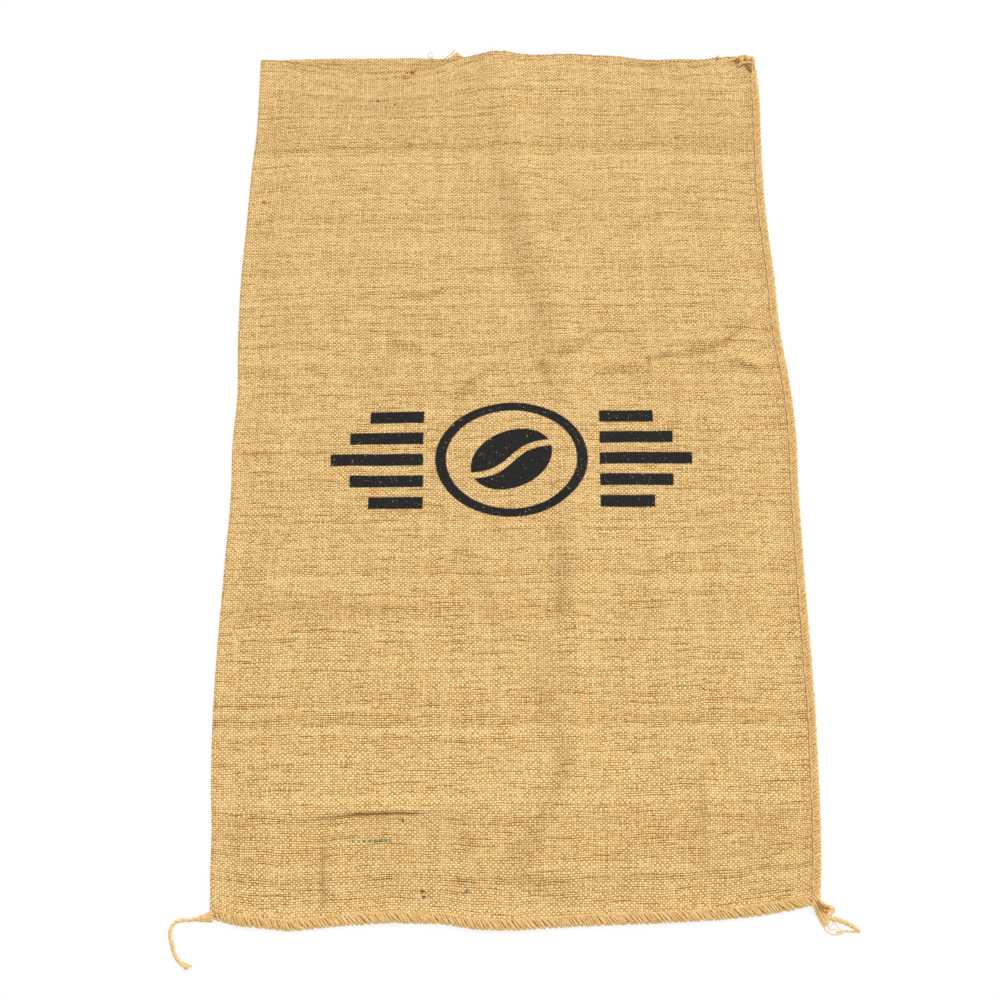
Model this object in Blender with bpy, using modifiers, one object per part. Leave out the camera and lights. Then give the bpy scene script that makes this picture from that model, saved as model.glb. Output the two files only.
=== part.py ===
"""Jute sack lying flat, empty, with its mouth towards +Y.

One cloth is folded along the sack's left side. Its right and bottom edges are turned in and
overcast with jute twine, which ends in a knot at the mouth and in loose ends at the bottom.

Places on the sack are given as (x, s): x from the sack's middle, s from its bottom towards its
mouth, both in metres. World Y is s less half the length, and z = 0 is the surface it lies on.
"""

import math

import bmesh
import bpy
import numpy as np

MM = 0.001

# Driving dimensions
SACK_WIDTH = 0.620
SACK_LENGTH = 1.026
CLOTH_THICK = 1.2 * MM
HEM_THICK = 2.0 * MM
HEM_WIDTH = 13.5 * MM
TWINE_THICK = 1.9 * MM
CLEARANCE = 0.3 * MM
POCKET_HEIGHT = 7.0 * MM

# Layers of the hem, from the surface up: twine, back hem, front hem, twine
TWINE_UNDER = 1.0 * MM
HEM_GAP = 0.4 * MM
BACK_HEM_Z = TWINE_UNDER + CLEARANCE + HEM_THICK / 2
FRONT_HEM_Z = BACK_HEM_Z + HEM_THICK + HEM_GAP
HEM_TOP = FRONT_HEM_Z + HEM_THICK / 2
BACK_Z = CLOTH_THICK / 2
FRONT_Z = CLOTH_THICK + POCKET_HEIGHT + CLOTH_THICK / 2

# Cloth edges, inside the twine that wraps the right and bottom ones
HALF_WIDTH = SACK_WIDTH / 2
SEAM_REACH = TWINE_THICK + CLEARANCE
RIGHT_EDGE = HALF_WIDTH - SEAM_REACH
MOUTH = 1.020
HEM_STEP = 2.0 * MM
LIFT_RUN = 14.0 * MM
PUFF_RUN = 48.0 * MM
FOLD_PUFF_RUN = 65.0 * MM
RELIEF_RUN = 26.0 * MM
CORNER_EASE = 0.14
MOUTH_EASE = 0.10

# How far each edge lies inside the full rectangle, by place along it
# (s, inset)
LEFT_INSET = (
    (0.000, 13.0 * MM),
    (0.050, 8.7 * MM),
    (0.100, 6.8 * MM),
    (0.136, 3.9 * MM),
    (0.200, 1.0 * MM),
    (0.355, 2.1 * MM),
    (0.457, 4.3 * MM),
    (0.510, 2.6 * MM),
    (0.564, 4.4 * MM),
    (0.638, 1.1 * MM),
    (0.715, 0.0 * MM),
    (0.795, 2.3 * MM),
    (0.878, 4.8 * MM),
    (0.900, 6.2 * MM),
    (1.026, 6.3 * MM),
)
# (s, inset)
RIGHT_INSET = (
    (0.000, 22.0 * MM),
    (0.050, 15.3 * MM),
    (0.136, 9.4 * MM),
    (0.196, 6.9 * MM),
    (0.355, 4.8 * MM),
    (0.457, 2.8 * MM),
    (0.527, 0.0 * MM),
    (0.590, 2.6 * MM),
    (0.638, 7.0 * MM),
    (0.715, 8.4 * MM),
    (0.800, 11.4 * MM),
    (0.878, 10.4 * MM),
    (0.964, 6.8 * MM),
    (1.026, 8.4 * MM),
)
# The bottom edge runs straight between these. (x, inset, grid cells of the front layer up to the next)
BOTTOM_INSET = (
    (-0.310, 12.5 * MM, 1),
    (-0.285, 6.5 * MM, 2),
    (-0.230, 1.0 * MM, 2),
    (-0.180, 5.5 * MM, 2),
    (-0.130, 8.0 * MM, 2),
    (-0.075, 6.5 * MM, 2),
    (-0.040, 1.0 * MM, 3),
    (0.000, 0.0 * MM, 4),
    (0.060, 3.0 * MM, 3),
    (0.140, 5.2 * MM, 3),
    (0.210, 8.0 * MM, 2),
    (0.250, 11.5 * MM, 2),
    (0.282, 16.0 * MM, 1),
    (0.310, 22.5 * MM, 0),
)
# (x, distance from the bottom)
BACK_LIP = (
    (-0.310, 1.0225),
    (-0.250, 1.0255),
    (-0.110, 1.0255),
    (0.000, 1.0240),
    (0.090, 1.0260),
    (0.165, 1.0220),
    (0.310, 1.0220),
)
# The front layer's lip stands back from the back layer's (x, distance)
FRONT_LIP_BACK = (
    (-0.310, 0.0 * MM),
    (-0.285, 4.0 * MM),
    (-0.250, 15.0 * MM),
    (-0.085, 16.0 * MM),
    (-0.052, 4.0 * MM),
    (-0.030, 1.0 * MM),
    (0.020, 1.0 * MM),
    (0.050, 2.0 * MM),
    (0.110, 2.5 * MM),
    (0.145, 3.5 * MM),
    (0.175, 6.0 * MM),
    (0.235, 8.2 * MM),
    (0.262, 4.0 * MM),
    (0.285, 0.5 * MM),
    (0.310, 0.0 * MM),
)

# Folds of the front layer: a soft line from one place to another, as high (+) or deep (-) as stated
# (from x, from s, height there, to x, to s, height there, half width)
FOLDS = (
    (-0.015, 1.040, 8.0 * MM, -0.013, 0.985, 6.0 * MM, 26 * MM),
    (-0.013, 0.985, 6.0 * MM, -0.004, 0.930, 4.5 * MM, 24 * MM),
    (-0.004, 0.930, 4.5 * MM, 0.017, 0.830, 4.5 * MM, 22 * MM),
    (0.017, 0.830, 4.5 * MM, 0.050, 0.680, 4.0 * MM, 20 * MM),
    (0.050, 0.680, 4.0 * MM, 0.060, 0.520, 2.5 * MM, 20 * MM),
    (0.060, 0.520, 2.5 * MM, 0.066, 0.310, 3.5 * MM, 18 * MM),
    (0.066, 0.310, 3.5 * MM, 0.050, 0.215, 2.5 * MM, 18 * MM),
    (0.050, 0.215, 2.5 * MM, 0.058, 0.155, 3.0 * MM, 18 * MM),
    (0.058, 0.155, 3.0 * MM, 0.025, 0.060, 2.0 * MM, 18 * MM),
    (-0.330, 0.888, -1.5 * MM, 0.320, 0.893, -1.5 * MM, 10 * MM),
    (-0.165, 0.592, 1.4 * MM, -0.100, 0.598, 1.4 * MM, 10 * MM),
    (-0.064, 0.565, 1.6 * MM, -0.022, 0.608, 1.6 * MM, 10 * MM),
    (0.084, 0.602, 1.8 * MM, 0.135, 0.598, 2.0 * MM, 10 * MM),
    (0.135, 0.598, 2.0 * MM, 0.200, 0.562, 1.6 * MM, 10 * MM),
    (0.156, 0.622, 1.5 * MM, 0.215, 0.630, 2.6 * MM, 10 * MM),
    (0.215, 0.630, 2.6 * MM, 0.282, 0.678, 2.6 * MM, 10 * MM),
    (-0.320, 0.322, 1.2 * MM, -0.205, 0.315, 1.2 * MM, 10 * MM),
    (-0.205, 0.315, 1.2 * MM, -0.045, 0.329, 1.4 * MM, 10 * MM),
    (0.130, 0.320, 0.8 * MM, 0.320, 0.310, 0.8 * MM, 10 * MM),
    (-0.305, 0.114, 1.4 * MM, -0.198, 0.116, 3.0 * MM, 12 * MM),
    (-0.198, 0.116, 3.0 * MM, -0.086, 0.121, 2.6 * MM, 12 * MM),
    (-0.182, 0.090, 1.5 * MM, -0.180, 0.033, 1.5 * MM, 9 * MM),
    (0.188, 0.151, 1.3 * MM, 0.187, 0.092, 1.3 * MM, 10 * MM),
)
# Slow unevenness of the whole front layer: (height, waves across, waves along, phase)
UNEVENNESS = (
    (0.5 * MM, 1.6, 2.3, 0.4),
    (0.4 * MM, 2.7, -3.4, 2.1),
    (0.3 * MM, -3.9, 5.2, 4.0),
)

# Spans between the cloth's grid lines along its length, finer at the hem and the main folds
# (from, to, cells)
ALONG_SPANS = (
    (0.0000, 0.0135, 1),
    (0.0135, 0.0155, 1),
    (0.0155, 0.0640, 2),
    (0.064, 0.092, 1),
    (0.092, 0.124, 3),
    (0.124, 0.300, 5),
    (0.300, 0.336, 2),
    (0.336, 0.560, 6),
    (0.560, 0.640, 5),
    (0.640, 0.868, 6),
    (0.868, 0.908, 3),
    (0.908, MOUTH, 4),
)
FOLD_CELLS = 5

# Overcasting twine: each strip runs from one place to another along its edge, s on the side and x on
# the bottom, and a stitch's outer end lies further along than its inner end by the slant
BAND_WIDTH = 10.5 * MM
BAND_ROUNDING = 0.5 * MM
GROOVE_DEPTH = 1.1 * MM
GROOVE_LIFT = 0.35 * MM
SIDE_STITCH = 10.3 * MM
SIDE_SLANT = 7.0 * MM
SIDE_FROM = 0.0115
SIDE_TO = 1.004
BOTTOM_STITCH = 12.0 * MM
BOTTOM_SLANT = 8.0 * MM
BOTTOM_FROM = -0.3112
BOTTOM_TO = 0.310

# Knot at the mouth, on the hem's top, its middle raised by a share of its height
KNOT_PLACE = (0.291, 1.0135)
KNOT_SIZE = (15 * MM, 13 * MM, 8 * MM)
KNOT_RAISED = 0.42
KNOT_LUMPS = 3
KNOT_LUMP_SHARE = 0.10

# Loose twine ends: the places each passes, and the height of its middle there
TAIL_SIDES = 8
TAIL_WIDTH = 3.6 * MM
TAIL_FLATNESS = 0.62
TAIL_STEP = 1.6 * MM
TAIL_LAY = 12.0 * MM
# (x, s, z)
TAIL_LEFT_ROUTE = (
    (-0.2987, 0.0150, 3.4 * MM),
    (-0.3050, 0.0147, 3.0 * MM),
    (-0.3120, 0.0136, 2.4 * MM),
    (-0.3190, 0.0126, 1.9 * MM),
    (-0.3260, 0.0125, 1.9 * MM),
    (-0.3320, 0.0105, 1.9 * MM),
    (-0.3360, 0.0050, 1.9 * MM),
    (-0.3362, -0.0020, 1.9 * MM),
    (-0.3335, -0.0110, 1.9 * MM),
    (-0.3300, -0.0200, 1.9 * MM),
    (-0.3245, -0.0268, 1.9 * MM),
    (-0.3165, -0.0315, 1.9 * MM),
)
TAIL_RIGHT_ROUTE = (
    (0.2874, 0.0208, 2.8 * MM),
    (0.2893, 0.0172, 2.3 * MM),
    (0.2928, 0.0125, 1.9 * MM),
    (0.2970, 0.0101, 1.9 * MM),
    (0.3015, 0.0088, 1.9 * MM),
    (0.3070, 0.0074, 1.9 * MM),
    (0.3125, 0.0055, 1.9 * MM),
    (0.3200, 0.0018, 1.9 * MM),
    (0.3265, -0.0035, 1.9 * MM),
)
TAIL_STUB_ROUTE = (
    (0.2914, 0.0270, 4.0 * MM),
    (0.2934, 0.0243, 3.5 * MM),
    (0.2965, 0.0214, 2.7 * MM),
    (0.3010, 0.0193, 2.1 * MM),
    (0.3050, 0.0178, 1.9 * MM),
)

# (colour, roughness)
CLOTH_FINISH = ((0.716, 0.469, 0.195), 0.92)
TWINE_FINISH = ((0.738, 0.451, 0.173), 0.90)


def smooth(value):
    """0 below 0, 1 above 1 and an even S between."""
    value = np.clip(value, 0.0, 1.0)
    return value * value * (3.0 - 2.0 * value)


def through(rows, at):
    """A smooth curve through rows of (place, value), read at one place or many."""
    places, values = np.array(rows, float).T
    slopes = np.gradient(values, places)
    at = np.clip(at, places[0], places[-1])
    span = np.clip(np.searchsorted(places, at, side="right") - 1, 0, len(places) - 2)
    run = places[span + 1] - places[span]
    t = (at - places[span]) / run
    start = (2 * t**3 - 3 * t**2 + 1) * values[span] + (t**3 - 2 * t**2 + t) * run * slopes[span]
    end = (3 * t**2 - 2 * t**3) * values[span + 1] + (t**3 - t**2) * run * slopes[span + 1]
    return start + end


def left_edge(s):
    """x of the fold's outer side."""
    return -HALF_WIDTH + through(LEFT_INSET, s)


def right_edge(s):
    """x of the cloth's sewn side, inside its twine."""
    return RIGHT_EDGE - through(RIGHT_INSET, s)


def bottom_edge(x):
    """s of the cloth's sewn bottom, inside its twine."""
    places, insets, _ = zip(*BOTTOM_INSET)
    return SEAM_REACH + np.interp(x, places, insets)


def segment_distance(x, s, start, end):
    """Distance to a straight line from start to end, and how far along it the nearest place is."""
    run = np.subtract(end, start)
    along = np.clip(((x - start[0]) * run[0] + (s - start[1]) * run[1]) / run.dot(run), 0.0, 1.0)
    return np.hypot(x - start[0] - along * run[0], s - start[1] - along * run[1]), along


def relief(x, s):
    """Height of the front layer's folds and unevenness over its even level."""
    raised = 0.0
    sunk = 0.0
    for from_x, from_s, from_high, to_x, to_s, to_high, half_width in FOLDS:
        distance, along = segment_distance(x, s, (from_x, from_s), (to_x, to_s))
        height = (from_high + (to_high - from_high) * along) * math.exp(-((distance / half_width) ** 2))
        raised = max(raised, height)
        sunk = min(sunk, height)
    slow = sum(
        height * math.sin(2 * math.pi * (across * x / SACK_WIDTH + along * s / SACK_LENGTH) + phase)
        for height, across, along, phase in UNEVENNESS
    )
    return raised + sunk + slow


def cloth_place(x_flat, s_flat, front):
    """(x, s) of a place on a layer, from its place on the full rectangle."""
    lip = through(BACK_LIP, x_flat) - front * through(FRONT_LIP_BACK, x_flat)
    at_bottom = bottom_edge(x_flat) * (1 - smooth(s_flat / CORNER_EASE))
    at_mouth = (lip - MOUTH) * smooth((s_flat - MOUTH + MOUTH_EASE) / MOUTH_EASE)
    s = s_flat + at_bottom + at_mouth
    inner_fold = left_edge(s) + CLOTH_THICK / 2 + fold_radius(s_flat)
    share = (x_flat + HALF_WIDTH) / SACK_WIDTH
    return inner_fold + (right_edge(s) - inner_fold) * share, s


def is_hem(s_flat, x_flat):
    """Whether a place is in the bottom or the right hem, where the cloth is doubled."""
    return min(s_flat, HALF_WIDTH - x_flat) < HEM_WIDTH + HEM_STEP / 2


def hem_lift(distance):
    """1 in a hem, easing to 0 over the run where a layer comes down from it."""
    return 1 - smooth((distance - HEM_WIDTH - HEM_STEP) / LIFT_RUN)


def fold_radius(s_flat):
    """Middle radius of the left fold, which is tighter in the bottom hem."""
    interior = (FRONT_HEM_Z - BACK_Z) / 2
    hem = (FRONT_HEM_Z - BACK_HEM_Z) / 2
    return interior + (hem - interior) * hem_lift(s_flat)


def back_height(s_flat, x_flat):
    """Middle height of the back layer, flat on the surface but for its hems."""
    lift = hem_lift(min(s_flat, HALF_WIDTH - x_flat))
    return BACK_Z + (BACK_HEM_Z - BACK_Z) * lift


def front_height(s_flat, x_flat):
    """Middle height of the front layer, over the pocket and its folds."""
    from_bottom = s_flat - HEM_WIDTH - HEM_STEP
    from_side = HALF_WIDTH - x_flat - HEM_WIDTH - HEM_STEP
    from_fold = x_flat + HALF_WIDTH
    puff = smooth(from_bottom / PUFF_RUN) * smooth(from_side / PUFF_RUN) * smooth(from_fold / FOLD_PUFF_RUN)
    shown = smooth(from_bottom / RELIEF_RUN) * smooth(from_side / RELIEF_RUN) * smooth(from_fold / RELIEF_RUN)
    x, s = cloth_place(x_flat, s_flat, front=1)
    return FRONT_HEM_Z + (FRONT_Z - FRONT_HEM_Z) * puff + relief(x, s) * shown


def lines_of(spans):
    """The grid lines of a table of spans, each place once."""
    places = [spans[0][0]]
    for start, end, cells in spans:
        places += [start + (end - start) * (k + 1) / cells for k in range(cells)]
    return places


def lines_across(layer):
    """The grid lines across a layer, left to right, with two more where its side hem ends."""
    places = [row[0] for row in BOTTOM_INSET]
    if layer == "front":
        spans = zip(places, places[1:], (row[2] for row in BOTTOM_INSET))
        places = lines_of(list(spans))
    return sorted(places + [HALF_WIDTH - HEM_WIDTH - HEM_STEP, HALF_WIDTH - HEM_WIDTH])


def world(x, s, z):
    """A place on the sack in world coordinates."""
    return x, s - SACK_LENGTH / 2, z


def cloth_columns():
    """The cloth's section, from the sewn edge of its back round the fold to that of its front."""
    columns = [("back", place) for place in reversed(lines_across("back"))]
    turn = [-90 + 180 * k / FOLD_CELLS for k in range(1, FOLD_CELLS)]
    columns += [("fold", angle) for angle in turn]
    columns += [("front", place) for place in lines_across("front")]
    return columns


def cloth_point(column, s_flat):
    """World place of the cloth's middle, and whether it is doubled there, for one line of its section."""
    layer, place = column
    if layer == "back":
        x, s = cloth_place(place, s_flat, front=0)
        return world(x, s, back_height(s_flat, place)), is_hem(s_flat, place)
    if layer == "front":
        x, s = cloth_place(place, s_flat, front=1)
        return world(x, s, front_height(s_flat, place)), is_hem(s_flat, place)
    x, s = cloth_place(-HALF_WIDTH, s_flat, front=0)
    radius = fold_radius(s_flat)
    middle = back_height(s_flat, -HALF_WIDTH) + radius
    angle = math.radians(place)
    return world(x - radius * math.cos(angle), s, middle + radius * math.sin(angle)), False


def finish_material(name, finish):
    """A Principled material of one colour."""
    colour, roughness = finish
    material = bpy.data.materials.new(name)
    material.use_nodes = True
    shader = material.node_tree.nodes["Principled BSDF"]
    shader.inputs["Base Color"].default_value = (*colour, 1.0)
    shader.inputs["Roughness"].default_value = roughness
    return material


def add_object(name, data, collection, finish):
    """Put new data in the sack's collection as an object with its own material."""
    obj = bpy.data.objects.new(name, data)
    collection.objects.link(obj)
    data.materials.append(finish_material(name, finish))
    return obj


def make_cloth(collection):
    """The folded cloth: a grid shaped to its middle, made solid, thicker in its hems."""
    columns = cloth_columns()
    rows = lines_of(ALONG_SPANS)
    shape = bmesh.new()
    bmesh.ops.create_grid(shape, x_segments=len(columns) - 1, y_segments=len(rows) - 1, size=1.0)
    in_hem = []
    for vertex in shape.verts:
        column = columns[round((vertex.co.x + 1) / 2 * (len(columns) - 1))]
        row = rows[round((vertex.co.y + 1) / 2 * (len(rows) - 1))]
        vertex.co, doubled = cloth_point(column, row)
        if doubled:
            in_hem.append(vertex.index)
    mesh = bpy.data.meshes.new("sack_cloth")
    shape.to_mesh(mesh)
    shape.free()
    cloth = add_object("sack_cloth", mesh, collection, CLOTH_FINISH)
    cloth.vertex_groups.new(name="hem").add(in_hem, 1.0, "REPLACE")
    solid = cloth.modifiers.new("thickness", "SOLIDIFY")
    solid.thickness = HEM_THICK
    solid.offset = 0.0
    solid.use_even_offset = True
    solid.vertex_group = "hem"
    solid.thickness_vertex_group = CLOTH_THICK / HEM_THICK
    return cloth


def seam_section(groove):
    """Twine round the hem, as (distance in from the cloth's edge, height), clear of the cloth inside.

    groove is 0 on a stitch's ridge and 1 between two stitches, where the twine is thinner.
    """
    thick = TWINE_THICK - GROOVE_DEPTH * groove
    outer_low = GROOVE_LIFT * groove
    inner_low = TWINE_UNDER
    inner_high = HEM_TOP + CLEARANCE
    return (
        (BAND_WIDTH - BAND_ROUNDING, inner_low),
        (-CLEARANCE, inner_low),
        (-CLEARANCE, inner_high),
        (BAND_WIDTH, inner_high),
        (BAND_WIDTH + BAND_ROUNDING, inner_high + thick / 3),
        (BAND_WIDTH / 2, inner_high + thick),
        (-CLEARANCE - thick / 2, inner_high + thick / 2),
        (-CLEARANCE - thick, inner_high / 2),
        (-CLEARANCE - thick / 2, outer_low),
        (BAND_WIDTH - 2 * BAND_ROUNDING, outer_low),
    )


def make_seam(name, collection, edge, start, end, stitch, slant):
    """A strip of stitches along an edge, its ridges and grooves slanted across the band.

    edge lists the places of the cloth's grid lines on that edge, as (flat place, x, s).
    """
    marks, edge_x, edge_s = np.array(edge).T

    def edge_at(mark):
        return np.array((np.interp(mark, marks, edge_x), np.interp(mark, marks, edge_s)))

    stitches = round((end - start) / stitch)
    lines = [start + (end - start) * k / (2 * stitches) for k in range(2 * stitches + 1)]
    shape = bmesh.new()
    rings = []
    for k, place in enumerate(lines):
        lean = 0.0 if place in (lines[0], lines[-1]) else slant
        ring = []
        for inward, height in seam_section(groove=1 - k % 2):
            at = place - lean * (inward / BAND_WIDTH - 0.5)
            run = edge_at(at + stitch) - edge_at(at - stitch)
            inside = np.array((-run[1], run[0])) / np.linalg.norm(run)
            x, s = edge_at(at) + inside * inward
            ring.append(shape.verts.new(world(x, s, height)))
        rings.append(ring)
    for ring, following in zip(rings, rings[1:]):
        for k in range(len(ring)):
            after = (k + 1) % len(ring)
            shape.faces.new((ring[k], ring[after], following[after], following[k]))
    shape.faces.new(rings[0])
    shape.faces.new(rings[-1])
    bmesh.ops.remove_doubles(shape, verts=shape.verts, dist=0.01 * MM)
    bmesh.ops.triangulate(shape, faces=[face for face in shape.faces if len(face.verts) > 4])
    bmesh.ops.recalc_face_normals(shape, faces=shape.faces)
    mesh = bpy.data.meshes.new(name)
    shape.to_mesh(mesh)
    shape.free()
    return add_object(name, mesh, collection, TWINE_FINISH)


def make_knot(collection):
    """A lump of twine that sits on the hem at the mouth's sewn corner."""
    shape = bmesh.new()
    bmesh.ops.create_uvsphere(shape, u_segments=12, v_segments=8, radius=0.5)
    floor = HEM_TOP + CLEARANCE
    middle = floor + KNOT_RAISED * KNOT_SIZE[2]
    for vertex in shape.verts:
        around = math.atan2(vertex.co.y, vertex.co.x)
        twist = 2 * math.pi * vertex.co.z
        lump = 1 + KNOT_LUMP_SHARE * math.cos(KNOT_LUMPS * around + twist)
        x = KNOT_PLACE[0] + KNOT_SIZE[0] * vertex.co.x * lump
        s = KNOT_PLACE[1] + KNOT_SIZE[1] * vertex.co.y * lump
        z = max(floor, middle + KNOT_SIZE[2] * vertex.co.z)
        vertex.co = world(x, s, z)
    mesh = bpy.data.meshes.new("mouth_knot")
    shape.to_mesh(mesh)
    shape.free()
    return add_object("mouth_knot", mesh, collection, TWINE_FINISH)


def route_points(route, step):
    """Evenly spaced points of a smooth curve through a route."""
    route = np.array(route)
    marks = np.concatenate([[0.0], np.cumsum(np.linalg.norm(np.diff(route, axis=0), axis=1))])
    count = max(2, round(marks[-1] / step))
    at = np.linspace(0.0, marks[-1], count + 1)
    return np.column_stack([through(np.column_stack([marks, route[:, k]]), at) for k in range(3)])


def twine_profile(collection):
    """The flattened section of two plies, which turns along a tail."""
    curve = bpy.data.curves.new("twine_profile", "CURVE")
    curve.dimensions = "2D"
    spline = curve.splines.new("POLY")
    spline.points.add(TAIL_SIDES - 1)
    for k, point in enumerate(spline.points):
        angle = -2 * math.pi * k / TAIL_SIDES
        across = TAIL_WIDTH / 2 * math.cos(angle)
        point.co = (across, TAIL_WIDTH / 2 * TAIL_FLATNESS * math.sin(angle), 0.0, 1.0)
    spline.use_cyclic_u = True
    guide = bpy.data.objects.new("twine_profile", curve)
    guide.hide_render = True
    guide.display_type = "WIRE"
    collection.objects.link(guide)
    return guide


def make_tail(name, collection, route, profile):
    """A loose twisted end of the twine along its route."""
    points = route_points(route, TAIL_STEP)
    curve = bpy.data.curves.new(name, "CURVE")
    curve.dimensions = "3D"
    curve.twist_mode = "Z_UP"
    curve.bevel_mode = "OBJECT"
    curve.bevel_object = profile
    curve.use_fill_caps = True
    spline = curve.splines.new("POLY")
    spline.points.add(len(points) - 1)
    for k, (point, place) in enumerate(zip(spline.points, points)):
        point.co = (*world(*place), 1.0)
        point.tilt = 2 * math.pi * k * TAIL_STEP / TAIL_LAY
    return add_object(name, curve, collection, TWINE_FINISH)


def main():
    for obj in list(bpy.data.objects):
        bpy.data.objects.remove(obj)
    sack = bpy.data.collections.new("burlap_sack")
    helpers = bpy.data.collections.new("guides")
    bpy.context.scene.collection.children.link(sack)
    bpy.context.scene.collection.children.link(helpers)

    make_cloth(sack)
    side = [(s_flat, *cloth_place(HALF_WIDTH, s_flat, front=0)) for s_flat in lines_of(ALONG_SPANS)]
    bottom = [(x_flat, *cloth_place(x_flat, 0.0, front=0)) for x_flat in lines_across("front")]
    fold_depth = CLOTH_THICK / 2 + fold_radius(0.0)
    bottom.insert(0, (bottom[0][0] - fold_depth, bottom[0][1] - fold_depth, bottom[0][2]))
    make_seam("side_seam_twine", sack, side, SIDE_FROM, SIDE_TO, SIDE_STITCH, SIDE_SLANT)
    make_seam("bottom_seam_twine", sack, bottom, BOTTOM_FROM, BOTTOM_TO, BOTTOM_STITCH, BOTTOM_SLANT)
    make_knot(sack)
    profile = twine_profile(helpers)
    make_tail("tail_left", sack, TAIL_LEFT_ROUTE, profile)
    make_tail("tail_right", sack, TAIL_RIGHT_ROUTE, profile)
    make_tail("tail_stub", sack, TAIL_STUB_ROUTE, profile)


main()
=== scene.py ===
"""Looks of an empty jute sack that lies flat on a pale floor, its open mouth away from the camera.

Places on the sack are (x, s), as in the part's source: x from the sack's middle, s from its sewn
bottom towards its mouth. World Y is s less half the length. Sizes are in metres unless a name says mm.
"""

import logging
import math
from dataclasses import dataclass
from enum import Enum

import bpy
import numpy as np
from bpy.types import Material, NodeSocket, Object
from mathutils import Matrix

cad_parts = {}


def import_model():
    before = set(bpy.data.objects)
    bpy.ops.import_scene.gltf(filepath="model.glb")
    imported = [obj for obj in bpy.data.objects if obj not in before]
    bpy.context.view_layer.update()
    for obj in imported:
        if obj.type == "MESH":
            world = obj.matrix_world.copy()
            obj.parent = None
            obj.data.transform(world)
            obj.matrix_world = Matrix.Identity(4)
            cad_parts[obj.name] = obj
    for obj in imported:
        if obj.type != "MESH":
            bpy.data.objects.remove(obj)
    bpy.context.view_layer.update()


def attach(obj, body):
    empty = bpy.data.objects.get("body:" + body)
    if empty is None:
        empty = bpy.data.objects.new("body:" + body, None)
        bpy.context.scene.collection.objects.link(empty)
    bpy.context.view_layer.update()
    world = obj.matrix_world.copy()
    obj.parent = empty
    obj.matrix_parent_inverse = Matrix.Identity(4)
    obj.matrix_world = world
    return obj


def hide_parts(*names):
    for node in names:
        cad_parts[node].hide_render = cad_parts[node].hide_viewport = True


MM = 0.001
LOG = logging.getLogger("sack")

# The sack's size and layers, as in the part's source
SACK_WIDTH = 0.620
SACK_LENGTH = 1.026
HALF_WIDTH = SACK_WIDTH / 2
MOUTH = 1.020
CLOTH_THICK = 1.2 * MM
HEM_THICK = 2.0 * MM
HEM_WIDTH = 13.5 * MM
TWINE_THICK = 1.9 * MM
CLEARANCE = 0.3 * MM
POCKET_HEIGHT = 7.0 * MM
TWINE_UNDER = 1.0 * MM
HEM_GAP = 0.4 * MM
BACK_HEM_Z = TWINE_UNDER + CLEARANCE + HEM_THICK / 2
FRONT_HEM_Z = BACK_HEM_Z + HEM_THICK + HEM_GAP
HEM_TOP = FRONT_HEM_Z + HEM_THICK / 2
BACK_Z = CLOTH_THICK / 2
FRONT_Z = CLOTH_THICK + POCKET_HEIGHT + CLOTH_THICK / 2
SEAM_REACH = TWINE_THICK + CLEARANCE
RIGHT_EDGE = HALF_WIDTH - SEAM_REACH
HEM_STEP = 2.0 * MM
LIFT_RUN = 14.0 * MM
PUFF_RUN = 48.0 * MM
FOLD_PUFF_RUN = 65.0 * MM
RELIEF_RUN = 26.0 * MM
CORNER_EASE = 0.14
MOUTH_EASE = 0.10

# How far each edge lies inside the full rectangle: (s, inset)
LEFT_INSET = (
    (0.000, 13.0 * MM),
    (0.050, 8.7 * MM),
    (0.100, 6.8 * MM),
    (0.136, 3.9 * MM),
    (0.200, 1.0 * MM),
    (0.355, 2.1 * MM),
    (0.457, 4.3 * MM),
    (0.510, 2.6 * MM),
    (0.564, 4.4 * MM),
    (0.638, 1.1 * MM),
    (0.715, 0.0 * MM),
    (0.795, 2.3 * MM),
    (0.878, 4.8 * MM),
    (0.900, 6.2 * MM),
    (1.026, 6.3 * MM),
)
# (s, inset)
RIGHT_INSET = (
    (0.000, 22.0 * MM),
    (0.050, 15.3 * MM),
    (0.136, 9.4 * MM),
    (0.196, 6.9 * MM),
    (0.355, 4.8 * MM),
    (0.457, 2.8 * MM),
    (0.527, 0.0 * MM),
    (0.590, 2.6 * MM),
    (0.638, 7.0 * MM),
    (0.715, 8.4 * MM),
    (0.800, 11.4 * MM),
    (0.878, 10.4 * MM),
    (0.964, 6.8 * MM),
    (1.026, 8.4 * MM),
)
# (x, inset)
BOTTOM_INSET = (
    (-0.310, 12.5 * MM),
    (-0.285, 6.5 * MM),
    (-0.230, 1.0 * MM),
    (-0.180, 5.5 * MM),
    (-0.130, 8.0 * MM),
    (-0.075, 6.5 * MM),
    (-0.040, 1.0 * MM),
    (0.000, 0.0 * MM),
    (0.060, 3.0 * MM),
    (0.140, 5.2 * MM),
    (0.210, 8.0 * MM),
    (0.250, 11.5 * MM),
    (0.282, 16.0 * MM),
    (0.310, 22.5 * MM),
)
# (x, distance from the bottom)
BACK_LIP = (
    (-0.310, 1.0225),
    (-0.250, 1.0255),
    (-0.110, 1.0255),
    (0.000, 1.0240),
    (0.090, 1.0260),
    (0.165, 1.0220),
    (0.310, 1.0220),
)
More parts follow.
